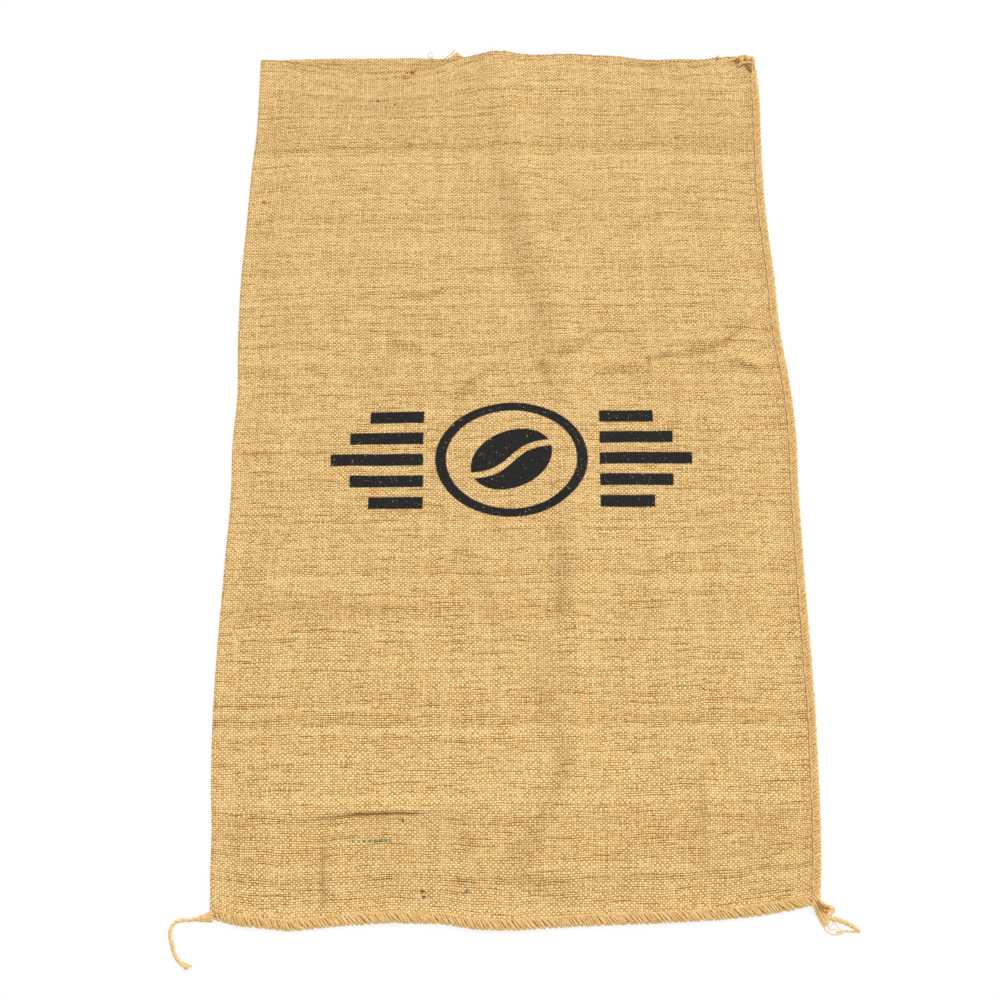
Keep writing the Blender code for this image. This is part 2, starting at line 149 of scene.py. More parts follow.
# The front layer's lip stands back from the back layer's: (x, distance)
FRONT_LIP_BACK = (
    (-0.310, 0.0 * MM),
    (-0.285, 4.0 * MM),
    (-0.250, 15.0 * MM),
    (-0.085, 16.0 * MM),
    (-0.052, 4.0 * MM),
    (-0.030, 1.0 * MM),
    (0.020, 1.0 * MM),
    (0.050, 2.0 * MM),
    (0.110, 2.5 * MM),
    (0.145, 3.5 * MM),
    (0.175, 6.0 * MM),
    (0.235, 8.2 * MM),
    (0.262, 4.0 * MM),
    (0.285, 0.5 * MM),
    (0.310, 0.0 * MM),
)
# Both lips are ragged over their last few mm: (mm, waves across the sack, phase)
LIP_RAGGED = (
    (0.30, 31.0, 0.4),
    (0.28, 47.0, 2.0),
    (0.22, 68.0, 4.1),
    (0.30, 9.0, 1.0),
)
LIP_RAGGED_RUN = 6.0 * MM

# Folds of the front layer, from one place to another, as high (+) or deep (-) as stated there
# (from x, from s, height there, to x, to s, height there, half width)
FOLDS = (
    # The ridge from the hump at the mouth down to the bottom
    (-0.015, 1.040, 8.0 * MM, -0.013, 0.985, 6.0 * MM, 26 * MM),
    (-0.013, 0.985, 6.0 * MM, -0.004, 0.930, 4.5 * MM, 24 * MM),
    (-0.004, 0.930, 4.5 * MM, 0.017, 0.830, 4.5 * MM, 22 * MM),
    (0.017, 0.830, 4.5 * MM, 0.050, 0.680, 4.0 * MM, 20 * MM),
    (0.050, 0.680, 4.0 * MM, 0.060, 0.520, 2.5 * MM, 20 * MM),
    (0.060, 0.520, 2.5 * MM, 0.066, 0.310, 3.5 * MM, 18 * MM),
    (0.066, 0.310, 3.5 * MM, 0.050, 0.215, 2.5 * MM, 18 * MM),
    (0.050, 0.215, 2.5 * MM, 0.058, 0.155, 3.0 * MM, 18 * MM),
    (0.058, 0.155, 3.0 * MM, 0.025, 0.060, 2.0 * MM, 18 * MM),
    # The old fold across the sack below its mouth
    (-0.330, 0.884, -1.5 * MM, 0.320, 0.885, -1.5 * MM, 12 * MM),
    # Ridges and troughs above the middle
    (-0.165, 0.592, 1.4 * MM, -0.100, 0.598, 1.4 * MM, 8 * MM),
    (-0.064, 0.565, 1.6 * MM, -0.022, 0.608, 1.6 * MM, 8 * MM),
    (0.084, 0.602, 1.8 * MM, 0.135, 0.598, 2.0 * MM, 9 * MM),
    (0.135, 0.598, 2.0 * MM, 0.200, 0.562, 1.6 * MM, 9 * MM),
    (0.156, 0.622, 1.5 * MM, 0.215, 0.630, 2.6 * MM, 9 * MM),
    (0.215, 0.630, 2.6 * MM, 0.282, 0.678, 2.6 * MM, 9 * MM),
    (0.250, 0.607, 1.4 * MM, 0.300, 0.593, 1.4 * MM, 8 * MM),
    (0.053, 0.609, -1.3 * MM, 0.104, 0.646, -1.3 * MM, 7 * MM),
    (-0.138, 0.661, 1.3 * MM, -0.124, 0.629, 1.3 * MM, 7 * MM),
    (-0.127, 0.702, 0.8 * MM, -0.048, 0.711, 0.8 * MM, 7 * MM),
    # Faint old fold across the lower third
    (-0.320, 0.322, 1.2 * MM, -0.205, 0.315, 1.2 * MM, 8 * MM),
    (-0.205, 0.315, 1.2 * MM, -0.045, 0.329, 1.4 * MM, 8 * MM),
    (-0.045, 0.329, 1.4 * MM, 0.130, 0.320, 0.8 * MM, 9 * MM),
    (0.130, 0.320, 0.8 * MM, 0.320, 0.310, 0.8 * MM, 9 * MM),
    (-0.035, 0.385, 1.2 * MM, -0.002, 0.300, 1.4 * MM, 10 * MM),
    # The sharp fold low on the left, and short creases up from the bottom
    (-0.305, 0.112, 1.2 * MM, -0.198, 0.114, 2.6 * MM, 9 * MM),
    (-0.198, 0.114, 2.6 * MM, -0.086, 0.119, 2.2 * MM, 9 * MM),
    (-0.182, 0.090, 1.6 * MM, -0.180, 0.025, 1.6 * MM, 7 * MM),
    (0.188, 0.151, 1.3 * MM, 0.187, 0.092, 1.3 * MM, 8 * MM),
    (-0.009, 0.063, 1.2 * MM, 0.020, 0.063, 1.2 * MM, 7 * MM),
    (0.039, 0.033, 1.2 * MM, 0.078, 0.033, 1.2 * MM, 7 * MM),
    (-0.091, 0.056, 1.0 * MM, -0.089, 0.037, 1.0 * MM, 7 * MM),
)
# Sharp creases on top of the folds, steep on the right of the way from the first place to the second
# (from x, from s, height there, to x, to s, height there, steep half width, gentle half width)
CREASES = (
    # Across the sack below its mouth: the cloth above stands over the cloth below
    (-0.330, 0.8906, 1.3 * MM, -0.130, 0.8930, 1.3 * MM, 2.6 * MM, 11 * MM),
    (-0.130, 0.8930, 1.3 * MM, 0.130, 0.8944, 1.1 * MM, 2.6 * MM, 11 * MM),
    (0.130, 0.8944, 1.1 * MM, 0.320, 0.8912, 1.1 * MM, 2.6 * MM, 11 * MM),
    # Low on the left: a short deep fold
    (-0.245, 0.1030, 0.2 * MM, -0.195, 0.1086, 1.2 * MM, 2.2 * MM, 12 * MM),
    (-0.195, 0.1086, 1.2 * MM, -0.156, 0.1126, 2.8 * MM, 1.5 * MM, 12 * MM),
    (-0.156, 0.1126, 2.8 * MM, -0.110, 0.1130, 2.4 * MM, 1.5 * MM, 12 * MM),
    (-0.110, 0.1130, 2.4 * MM, -0.080, 0.1130, 0.2 * MM, 1.7 * MM, 12 * MM),
    (-0.182, 0.094, 0.6 * MM, -0.182, 0.026, 1.2 * MM, 6.0 * MM, 8 * MM),
    # Wrinkles above the middle, steep below
    (0.135, 0.6120, 0.6 * MM, 0.172, 0.6170, 2.0 * MM, 3.4 * MM, 11 * MM),
    (0.172, 0.6170, 2.0 * MM, 0.204, 0.6172, 1.8 * MM, 3.6 * MM, 11 * MM),
    (0.204, 0.6172, 1.8 * MM, 0.236, 0.6330, 1.8 * MM, 4.0 * MM, 11 * MM),
    (0.236, 0.6330, 1.8 * MM, 0.254, 0.6450, 1.8 * MM, 4.0 * MM, 11 * MM),
    (0.254, 0.6450, 1.8 * MM, 0.277, 0.6690, 0.8 * MM, 4.0 * MM, 11 * MM),
    (0.038, 0.6080, 0.6 * MM, 0.066, 0.6240, 3.8 * MM, 3.8 * MM, 10 * MM),
    (0.066, 0.6240, 3.8 * MM, 0.112, 0.6560, 1.4 * MM, 4.2 * MM, 10 * MM),
    (-0.070, 0.5590, 0.8 * MM, -0.052, 0.5820, 3.0 * MM, 4.0 * MM, 10 * MM),
    (-0.052, 0.5820, 3.0 * MM, -0.026, 0.6010, 1.0 * MM, 4.0 * MM, 10 * MM),
    (0.042, 0.5830, 1.4 * MM, 0.030, 0.6080, 2.6 * MM, 8.0 * MM, 4 * MM),
    (0.030, 0.6660, 1.8 * MM, 0.026, 0.6900, 1.8 * MM, 8.0 * MM, 4 * MM),
    (-0.150, 0.6880, 0.4 * MM, -0.104, 0.6930, 2.2 * MM, 2.8 * MM, 9 * MM),
    (-0.104, 0.6930, 2.2 * MM, -0.060, 0.7060, 1.0 * MM, 3.0 * MM, 9 * MM),
    (0.234, 0.6130, 1.8 * MM, 0.256, 0.6030, 3.4 * MM, 3.6 * MM, 9 * MM),
    (0.256, 0.6030, 3.4 * MM, 0.296, 0.5910, 1.6 * MM, 3.6 * MM, 9 * MM),
    (0.084, 0.6010, 0.6 * MM, 0.140, 0.5960, 2.2 * MM, 3.4 * MM, 9 * MM),
    (-0.165, 0.5910, 0.8 * MM, -0.100, 0.5970, 1.6 * MM, 3.4 * MM, 9 * MM),
    (-0.205, 0.3145, 0.8 * MM, -0.045, 0.3285, 1.2 * MM, 3.2 * MM, 9 * MM),
    (0.188, 0.151, 1.4 * MM, 0.187, 0.092, 1.4 * MM, 4.0 * MM, 9 * MM),
)
# Lines darkened along folds, partly worn cloth and partly painted shade in their creases and on their dark
# sides: (half width, places of (x, s) in mm and how dark there)
WORN_AND_SHADED_LINES = (
    (
        1.4 * MM,
        (
            (-222, 103.0, 0.0),
            (-196, 106.5, 0.15),
            (-176, 109.0, 0.55),
            (-156, 110.7, 0.9),
            (-137, 111.1, 0.9),
            (-117, 111.4, 0.8),
            (-101, 110.8, 0.6),
            (-88, 111.2, 0.0),
        ),
    ),
    (
        1.9 * MM,
        (
            (-309, 888.6, 0.24),
            (-249, 889.5, 0.14),
            (-190, 890.4, 0.20),
            (-131, 890.7, 0.24),
            (-77, 891.0, 0.12),
            (-12, 891.8, 0.20),
            (60, 891.9, 0.10),
            (131, 892.0, 0.20),
            (226, 891.2, 0.14),
            (300, 889.0, 0.20),
        ),
    ),
    (1.7 * MM, ((-191.0, 92.0, 0.10), (-190.6, 60.0, 0.46), (-189.7, 24.0, 0.42))),
    (
        1.9 * MM,
        (
            (149, 608.5, 0.30),
            (160, 611.0, 0.42),
            (172, 613.8, 0.42),
            (191, 612.8, 0.28),
            (204, 613.9, 0.30),
            (222, 621.5, 0.24),
            (238, 630.5, 0.26),
            (253, 640.5, 0.24),
            (264, 652.0, 0.20),
            (276, 663.0, 0.08),
        ),
    ),
    (3.6 * MM, ((50, 611.0, 0.12), (72, 622.6, 0.26), (93, 638.0, 0.14), (101, 645.0, 0.0))),
    (3.0 * MM, ((-61, 562.0, 0.12), (-50, 577.0, 0.32), (-36, 590.0, 0.12))),
    (2.0 * MM, ((-125, 688.0, 0.0), (-104, 690.6, 0.50), (-87, 694.4, 0.46), (-65, 702.0, 0.10))),
    (2.4 * MM, ((239, 606.8, 0.10), (255, 598.0, 0.18), (291, 586.6, 0.06))),
    (2.0 * MM, ((151.5, 606.0, 0.5), (152.0, 592.0, 0.2))),
    (4.0 * MM, ((31.4, 605.0, 0.34), (40.0, 586.0, 0.26))),
    (3.4 * MM, ((31.6, 677.0, 0.40), (32.6, 666.0, 0.30))),
    # The front lip's edge, left of the hump: painted shade where the edge stands over the back layer
    (
        1.1 * MM,
        (
            (-266, 1009.0, 0.2),
            (-232, 1009.0, 0.5),
            (-196, 1008.6, 0.5),
            (-150, 1008.6, 0.4),
            (-118, 1008.2, 0.5),
            (-84, 1008.2, 0.4),
            (-70, 1013.0, 0.2),
        ),
    ),
    # The selvage's inner line, right of the hump
    (
        1.1 * MM,
        ((30, 1012.5, 0.0), (75, 1010.8, 0.3), (160, 1007.0, 0.24), (233, 1005.0, 0.2), (262, 1006.0, 0.0)),
    ),
)
# Broad painted shade on the dark sides of the cloth's dips and folds, with the same columns
PAINTED_SHADES = (
    # Down the left of the ridge that comes from the mouth's hump
    (
        15 * MM,
        (
            (-16, 865, 0.03),
            (-9, 830, 0.14),
            (1, 776, 0.17),
            (14, 723, 0.15),
            (32, 671, 0.08),
            (36, 621, 0.12),
            (39, 590, 0.04),
        ),
    ),
    (8 * MM, ((46, 407, 0.12), (49, 373, 0.22), (46, 329, 0.28), (42, 297, 0.08))),
    (9 * MM, ((30, 286, 0.08), (26, 234, 0.15), (27, 183, 0.10))),
    (10 * MM, ((48, 193, 0.04), (47, 163, 0.20), (41, 133, 0.12), (16, 94, 0.18), (1, 58, 0.14))),
    (7 * MM, ((-64, 391, 0.06), (-48, 374, 0.13), (-27, 330, 0.17), (-17, 298, 0.09))),
    (5 * MM, ((181, 152, 0.04), (181, 122, 0.15), (182, 74, 0.15), (191, 22, 0.09))),
    (5 * MM, ((-298, 327, 0.08), (-225, 325, 0.12), (-142, 323, 0.12), (-48, 327, 0.06))),
    # The band between the old fold and the mouth
    (15 * MM, ((-300, 912, 0.07), (-120, 914, 0.05), (60, 914, 0.05), (290, 908, 0.08))),
    (8 * MM, ((46, 938, 0.12), (50, 922, 0.08))),
    (5 * MM, ((188, 903, 0.16), (230, 901, 0.10), (262, 902, 0.14))),
    # Round the mark
    (5 * MM, ((-138, 660, 0.08), (-126, 624, 0.17), (-150, 596, 0.12))),
    (5 * MM, ((-64, 554, 0.10), (-48, 578, 0.18), (-25, 596, 0.15), (-1, 627, 0.14))),
    (5 * MM, ((30, 598, 0.12), (55, 620, 0.12), (98, 645, 0.10))),
    (5 * MM, ((97, 593, 0.15), (141, 595, 0.18), (185, 576, 0.12))),
    (4 * MM, ((242, 606, 0.08), (262, 600, 0.14), (288, 592, 0.08))),
    (5 * MM, ((214, 617, 0.04), (240, 631, 0.14), (258, 646, 0.12), (272, 660, 0.04))),
    # The low middle and its ring
    (7 * MM, ((-38, 55, 0.10), (2, 46, 0.16), (44, 40, 0.14), (84, 38, 0.08))),
    (4 * MM, ((112, 128, 0.08), (128, 138, 0.10), (146, 128, 0.10), (150, 108, 0.08), (132, 96, 0.06))),
)
# Dark slubs in the back layer's lip, and painted shade on it along the front lip's edge, with the same
# columns
LIP_SLUBS_AND_SHADE = (
    (1.5 * MM, ((-232, 1018.5, 0.1), (-220, 1018.0, 0.6), (-208, 1018.6, 0.5), (-198, 1017.6, 0.0))),
    (
        1.1 * MM,
        (
            (-262, 1015.6, 0.2),
            (-205, 1013.2, 0.5),
            (-150, 1013.0, 0.35),
            (-118, 1012.8, 0.5),
            (-84, 1012.4, 0.3),
        ),
    ),
    (1.4 * MM, ((-158, 1021.0, 0.0), (-154, 1020.0, 0.5), (-150, 1020.4, 0.0))),
)
# Painted shade along the raw edge of the front layer's lip, where it stands over the back layer: how dark,
# and how far in
LIP_EDGE_SHADE = 0.40
LIP_EDGE_SHADE_RUN = 3.0 * MM
# Strands of the bottom seam: phase, run along the inner line in stitches, and radius
BOTTOM_STRANDS = (
    (0.00, 0.74, 1.34 * MM),
    (0.85, 0.14, 1.20 * MM),
    (0.18, 0.06, 1.26 * MM),
    (0.45, 0.04, 1.16 * MM),
)
# Half the width of the strand along each seam's inner line
INNER_LINE_RADIUS = 0.80 * MM
# Length of the twine in one stitch, in stitches
WRAP = 3.1
# Painted shade on the cloth under the twine of its sewn edges: how dark, how far in, and how far that takes
# to fade
UNDER_TWINE_SHADE = 0.02
TWINE_BAND = 5.0 * MM
TWINE_SHADE_RUN = 3.0 * MM
# How far from the mouth the back layer shows its slubs and painted shade
LIP_SLUB_AND_SHADE_REACH = 12.0 * MM
# Slow unevenness of the whole front layer: (height, waves across, waves along, phase)
UNEVENNESS = (
    (0.5 * MM, 1.6, 2.3, 0.4),
    (0.4 * MM, 2.7, -3.4, 2.1),
    (0.3 * MM, -3.9, 5.2, 4.0),
    (0.22 * MM, 8.3, 5.1, 1.3),
    (0.20 * MM, -6.2, 11.7, 0.2),
    (0.16 * MM, 13.1, -7.9, 3.3),
    (0.13 * MM, 9.4, 21.3, 5.1),
)

# Grid lines of the cloth along its length: (from, to, cells)
ALONG_SPANS = (
    (0.000, 0.018, 6),
    (0.018, 0.095, 18),
    (0.095, 0.102, 4),
    (0.102, 0.116, 15),
    (0.116, 0.127, 4),
    (0.127, 0.300, 34),
    (0.300, 0.335, 10),
    (0.335, 0.560, 48),
    (0.560, 0.680, 36),
    (0.680, 0.874, 38),
    (0.874, 0.884, 4),
    (0.884, 0.898, 13),
    (0.898, 1.010, 28),
    (1.010, MOUTH, 6),
)
FRONT_CELLS = 132
BACK_CELLS = 36
FOLD_CELLS = 10

# Loose twine ends, as in the part's source: (x, s, height of the middle)
TAIL_LEFT_ROUTE = (
    (-0.2987, 0.0150, 3.4 * MM),
    (-0.3050, 0.0147, 3.0 * MM),
    (-0.3120, 0.0136, 2.4 * MM),
    (-0.3190, 0.0126, 1.9 * MM),
    (-0.3260, 0.0125, 1.9 * MM),
    (-0.3320, 0.0105, 1.9 * MM),
    (-0.3360, 0.0050, 1.9 * MM),
    (-0.3362, -0.0020, 1.9 * MM),
    (-0.3335, -0.0110, 1.9 * MM),
    (-0.3300, -0.0200, 1.9 * MM),
    (-0.3245, -0.0268, 1.9 * MM),
    (-0.3165, -0.0315, 1.9 * MM),
)
TAIL_RIGHT_ROUTE = (
    (0.2874, 0.0208, 2.8 * MM),
    (0.2893, 0.0172, 2.3 * MM),
    (0.2928, 0.0125, 1.9 * MM),
    (0.2970, 0.0101, 1.9 * MM),
    (0.3015, 0.0088, 1.9 * MM),
    (0.3070, 0.0074, 1.9 * MM),
    (0.3125, 0.0055, 1.9 * MM),
    (0.3200, 0.0018, 1.9 * MM),
    (0.3265, -0.0035, 1.9 * MM),
)

# Strands of the knot at the mouth, each as (radius in mm, points of (x, s, z) in mm)
KNOT_STRANDS = (
    (
        1.9,
        (
            (267.0, 1013.6, 6.2),
            (274.0, 1015.8, 7.0),
            (280.0, 1018.4, 7.6),
            (286.0, 1020.4, 8.0),
            (291.0, 1020.8, 8.0),
        ),
    ),
    (3.3, ((282.6, 1012.0, 8.0), (284.0, 1016.0, 8.8), (287.2, 1018.0, 8.8))),
    (3.1, ((288.4, 1017.6, 9.0), (291.6, 1015.8, 9.2), (292.4, 1012.6, 8.8))),
    (2.7, ((295.4, 1017.4, 7.8), (298.4, 1013.4, 7.8), (298.6, 1008.6, 7.2))),
    (2.3, ((284.0, 1010.4, 7.0), (290.0, 1011.2, 7.6), (296.4, 1010.6, 7.4))),
    (1.6, ((295.6, 1009.6, 9.0), (298.2, 1006.4, 8.8), (299.2, 1002.0, 7.6))),
    (1.2, ((296.4, 1006.4, 8.4), (296.4, 999.6, 7.4), (295.8, 992.0, 6.2))),
    (2.3, ((278.6, 1006.4, 6.6), (283.2, 1009.4, 7.6), (288.0, 1011.4, 8.0))),
    (1.2, ((299.6, 1004.4, 7.6), (298.6, 998.6, 7.0), (297.4, 993.0, 6.2))),
)
# Strands in the shaded twine that paint shade into the knot's hollows, with the same columns
KNOT_SHADE_STRANDS = (
    (1.0, ((277.8, 1011.6, 7.7), (278.6, 1014.4, 8.2), (280.0, 1016.0, 8.2))),
    (1.5, ((289.6, 1008.6, 8.0), (292.0, 1005.0, 8.2), (293.2, 1000.6, 7.4))),
    (1.1, ((293.6, 1008.4, 8.8), (294.6, 1004.0, 8.2), (294.6, 999.0, 7.2))),
)

# Strands of twine at the bottom corners, each as (radius in mm, points of (x, s, z) in mm)
LEFT_ROOT_STRANDS = (
    (1.30, ((-296.5, 20.5, 5.2), (-300.5, 18.6, 4.6), (-306.0, 16.4, 3.4), (-312.0, 14.6, 2.2))),
    (1.35, ((-295.5, 18.0, 6.0), (-301.0, 16.6, 5.0), (-307.0, 15.0, 3.9), (-314.0, 13.4, 2.6))),
    (1.35, ((-295.5, 15.2, 5.8), (-301.0, 14.6, 5.0), (-307.0, 13.8, 3.9), (-314.5, 12.9, 2.6))),
    (1.30, ((-295.5, 12.6, 4.8), (-301.0, 12.6, 3.9), (-307.0, 12.5, 2.8), (-314.0, 12.3, 1.9))),
    (1.10, ((-296.0, 10.8, 3.2), (-301.0, 11.2, 2.4), (-307.0, 11.6, 1.8), (-313.0, 12.0, 1.4))),
)
RIGHT_ROOT_STRANDS = (
    (
        1.40,
        ((281.5, 23.5, 7.0), (284.0, 19.5, 5.4), (287.0, 13.5, 2.6), (290.6, 6.0, 1.5), (293.4, 0.6, 1.4)),
    ),
    (
        1.45,
        ((283.0, 26.0, 7.6), (286.2, 20.5, 6.4), (289.2, 14.0, 3.8), (292.2, 7.0, 2.3), (295.0, 2.0, 1.6)),
    ),
    (
        1.45,
        ((284.5, 28.5, 7.8), (288.4, 22.0, 6.8), (291.6, 15.6, 4.8), (294.4, 9.5, 3.3), (296.4, 3.6, 2.0)),
    ),
    (
        1.35,
        ((286.5, 30.0, 7.4), (290.4, 24.2, 6.2), (293.8, 18.0, 4.6), (296.4, 12.4, 3.6), (297.4, 6.6, 2.4)),
    ),
)
# Strands in the shaded twine that paint shade into the hollow above the right tail's stub
RIGHT_SHADE_STRANDS = (
    (1.35, ((286.6, 24.6, 8.9), (290.6, 21.4, 8.2), (295.0, 19.2, 6.2), (299.2, 18.0, 4.2))),
    (1.30, ((287.6, 21.6, 8.6), (290.8, 18.0, 7.4), (294.0, 15.2, 5.8), (297.6, 14.6, 4.0))),
)
RIGHT_STUB_STRANDS = (
    (1.50, ((289.5, 26.5, 6.0), (293.6, 22.6, 4.6), (298.5, 20.4, 3.2), (304.3, 18.6, 2.0))),
    (1.50, ((291.0, 22.5, 4.6), (295.0, 19.8, 3.8), (299.8, 18.2, 2.8), (305.0, 16.9, 1.8))),
    (1.35, ((293.5, 18.5, 3.6), (296.8, 16.6, 3.0), (300.8, 15.6, 2.2), (304.6, 14.9, 1.6))),
    (1.10, ((294.6, 14.6, 3.0), (297.4, 13.0, 2.4), (300.4, 12.6, 1.8), (303.0, 13.2, 1.3))),
)
RIGHT_RETURN_STRANDS = (
    (
        1.05,
        ((326.6, -3.2, 1.5), (319.5, -3.4, 1.2), (312.8, -2.9, 1.1), (308.9, -3.4, 1.1), (304.5, -4.6, 1.1)),
    ),
    (
        0.60,
        ((293.4, 3.2, 1.4), (294.0, -1.6, 0.7), (298.2, -4.8, 0.7), (305.0, -6.2, 0.7), (311.0, -5.0, 0.8)),
    ),
    (0.45, ((300.0, 7.5, 2.6), (303.4, 4.6, 1.6), (306.6, 0.8, 1.0), (310.0, -3.2, 1.6))),
    (
        0.45,
        ((299.0, 6.6, 2.4), (296.9, 1.2, 0.9), (299.5, -2.0, 0.6), (303.4, -0.8, 0.6), (306.4, -3.0, 1.2)),
    ),
    (0.40, ((302.6, 6.0, 2.0), (300.2, 2.4, 0.9), (298.0, -0.8, 0.6), (296.4, -3.2, 0.9))),
)
# Ends of the tails, where the plies open into a flat brush, with the same columns
LEFT_TIP_STRANDS = (
    (0.75, ((-325.5, -25.6, 2.2), (-321.8, -29.4, 1.4), (-319.9, -33.2, 0.9))),
    (0.75, ((-325.0, -26.0, 2.6), (-320.6, -29.4, 1.6), (-317.9, -32.4, 1.0))),
    (0.80, ((-324.5, -26.2, 2.8), (-319.6, -29.0, 1.8), (-316.4, -31.4, 1.0))),
    (0.75, ((-324.2, -25.8, 2.6), (-318.6, -28.2, 1.6), (-313.9, -30.6, 1.2))),
    (0.70, ((-324.0, -25.2, 2.2), (-318.4, -27.4, 1.4), (-313.4, -29.8, 1.5))),
    (0.60, ((-324.8, -26.4, 2.0), (-320.8, -30.6, 1.0), (-318.7, -33.6, 0.7))),
)
RIGHT_TIP_STRANDS = (
    (0.80, ((322.4, 0.6, 2.4), (325.6, -1.0, 1.8), (327.2, -2.4, 1.2))),
    (0.80, ((322.0, -0.2, 2.6), (325.2, -2.2, 1.8), (327.4, -4.2, 1.2))),
    (0.70, ((321.4, -1.2, 2.0), (324.4, -3.2, 1.4), (326.4, -5.0, 0.9))),
)
# Threads that stand out of the mouth's edge, with the same columns
MOUTH_THREADS = (
    (
        0.50,
        (
            (-92.4, 1022.6, 1.8),
            (-94.0, 1025.4, 2.2),
            (-93.6, 1028.8, 2.6),
            (-94.8, 1032.2, 2.8),
            (-97.6, 1032.6, 2.8),
            (-99.6, 1029.8, 2.6),
            (-97.8, 1027.0, 2.4),
            (-94.6, 1025.0, 2.4),
            (-92.0, 1023.2, 2.0),
        ),
    ),
    (
        0.62,
        (
            (-82.8, 1021.0, 1.9),
            (-78.6, 1023.6, 2.4),
            (-75.5, 1026.2, 3.0),
            (-69.4, 1031.6, 3.6),
            (-65.7, 1038.0, 4.0),
        ),
    ),
    (0.50, ((-81.0, 1021.6, 2.0), (-74.2, 1027.4, 3.0), (-69.4, 1031.1, 3.4), (-66.6, 1033.0, 3.4))),
    (
        1.40,
        (
            (-71.0, 1023.6, 1.8),
            (-67.0, 1029.2, 2.6),
            (-63.4, 1031.4, 3.0),
            (-60.0, 1028.0, 2.6),
            (-55.0, 1023.6, 2.0),
        ),
    ),
    (2.20, ((-73.0, 1023.4, 1.9), (-67.0, 1027.0, 2.4), (-60.0, 1027.0, 2.4), (-53.0, 1023.4, 2.0))),
    (1.90, ((-74.0, 1020.4, 1.8), (-66.0, 1023.4, 2.3), (-59.0, 1023.2, 2.3), (-51.0, 1020.2, 1.9))),
)
# Bits caught in the cloth: (x, s, run along x, run along s, thickness, in mm) by their kind
DARK_BITS = (
    (-164.3, 1011.6, 2.0, 0.4, 1.5),
    (-158.2, 957.3, 3.0, 1.8, 1.5),
    (-137.6, 951.4, 2.2, 0.2, 1.8),
    (-87.1, 956.7, 3.4, 0.8, 1.2),
    (-93.5, 37.2, 3.4, -2.0, 1.8),
    (-92.5, 31.8, 3.2, 0.2, 1.8),
    (-113.9, 104.0, 0.4, -3.4, 1.4),
    (-176.8, 101.1, 2.4, 0.2, 1.2),
    (190.5, 233.5, 1.8, -2.0, 1.4),
    (-121.3, 812.9, 0.4, -4.0, 1.0),
    (-46.0, 304.5, 3.8, 0.6, 0.9),
    (61.0, 300.0, 2.4, -3.4, 0.9),
    (34.0, 318.0, 5.4, 0.2, 0.9),
)
ORANGE_BITS = (
    (-288.1, 817.8, 4.4, 1.0, 3.0),
    (199.0, 901.3, 6.0, 0.8, 3.2),
    (6.3, 838.0, 4.6, -0.6, 2.6),
    (66.0, 762.0, 4.0, 0.4, 2.2),
    (-79.0, 700.0, 3.6, 0.4, 2.0),
    (-180.0, 742.0, 4.4, 0.2, 2.0),
    (212.0, 702.0, 4.2, 0.4, 2.0),
    (-60.0, 655.0, 3.8, -0.6, 1.9),
    (128.0, 118.0, 4.4, 0.2, 2.1),
    (-240.0, 210.0, 4.0, 0.4, 2.0),
    (-252.0, 498.0, 2.6, 0.4, 2.2),
    (-123.8, 989.9, 7.0, 1.2, 3.4),
    (255.2, 1017.4, 0.8, 6.4, 2.2),
    (182.0, 393.0, 4.2, 0.2, 2.0),
)
BROWN_BITS = (
    (-116.7, 998.7, 5.2, 0.6, 5.2),
    (-123.4, 998.0, 3.0, 0.2, 2.6),
)
GREEN_BITS = (
    (-151.2, 85.1, 3.0, 0.0, 2.3),
    (-145.6, 85.1, 3.0, 0.0, 2.5),
    (-140.4, 85.1, 3.0, 0.0, 2.4),
    (-135.6, 85.1, 3.2, 0.0, 2.6),
    (-130.2, 85.1, 2.8, 0.0, 2.4),
    (-50.4, 37.6, 3.4, -0.2, 2.4),
    (190.6, 243.4, 3.6, 0.4, 1.2),
    (-8.0, 958.0, 3.0, 0.0, 1.1),
)
FADED_GREEN_BITS = (
    (-165.6, 85.1, 2.6, 0.0, 2.0),
    (-161.6, 85.1, 2.4, 0.0, 2.0),
    (-156.6, 85.1, 2.8, 0.0, 2.2),
    (-125.8, 85.1, 2.2, 0.0, 2.0),
)
PALE_BITS = (
    (-189.9, 933.1, -1.4, -13.0, 0.9),
    (-191.6, 919.0, 0.2, -9.0, 1.1),
    (-13.4, 812.0, 2.0, -9.0, 1.0),
    (215.6, 190.0, -0.8, -8.0, 1.0),
    (250.0, 262.0, 0.6, -9.0, 0.9),
    (95.0, 322.0, 6.0, -5.0, 0.8),
)


def smooth(value: np.ndarray | float) -> np.ndarray | float:
    """0 below 0, 1 above 1 and an even S between."""
    value = np.clip(value, 0.0, 1.0)
    return value * value * (3.0 - 2.0 * value)


def through(rows: tuple | np.ndarray, at: np.ndarray | float) -> np.ndarray:
    """Read a smooth curve through rows of (place, value).

    Args:
        rows: the places and values that the curve passes.
        at: where it is read.

    Returns:
        The curve's values there.
    """
    places, values = np.array(rows, float).T
    slopes = np.gradient(values, places)
    at = np.clip(at, places[0], places[-1])
    span = np.clip(np.searchsorted(places, at, side="right") - 1, 0, len(places) - 2)
    run = places[span + 1] - places[span]
    t = (at - places[span]) / run
    start = (2 * t**3 - 3 * t**2 + 1) * values[span] + (t**3 - 2 * t**2 + t) * run * slopes[span]
    end = (3 * t**2 - 2 * t**3) * values[span + 1] + (t**3 - t**2) * run * slopes[span + 1]
    return start + end


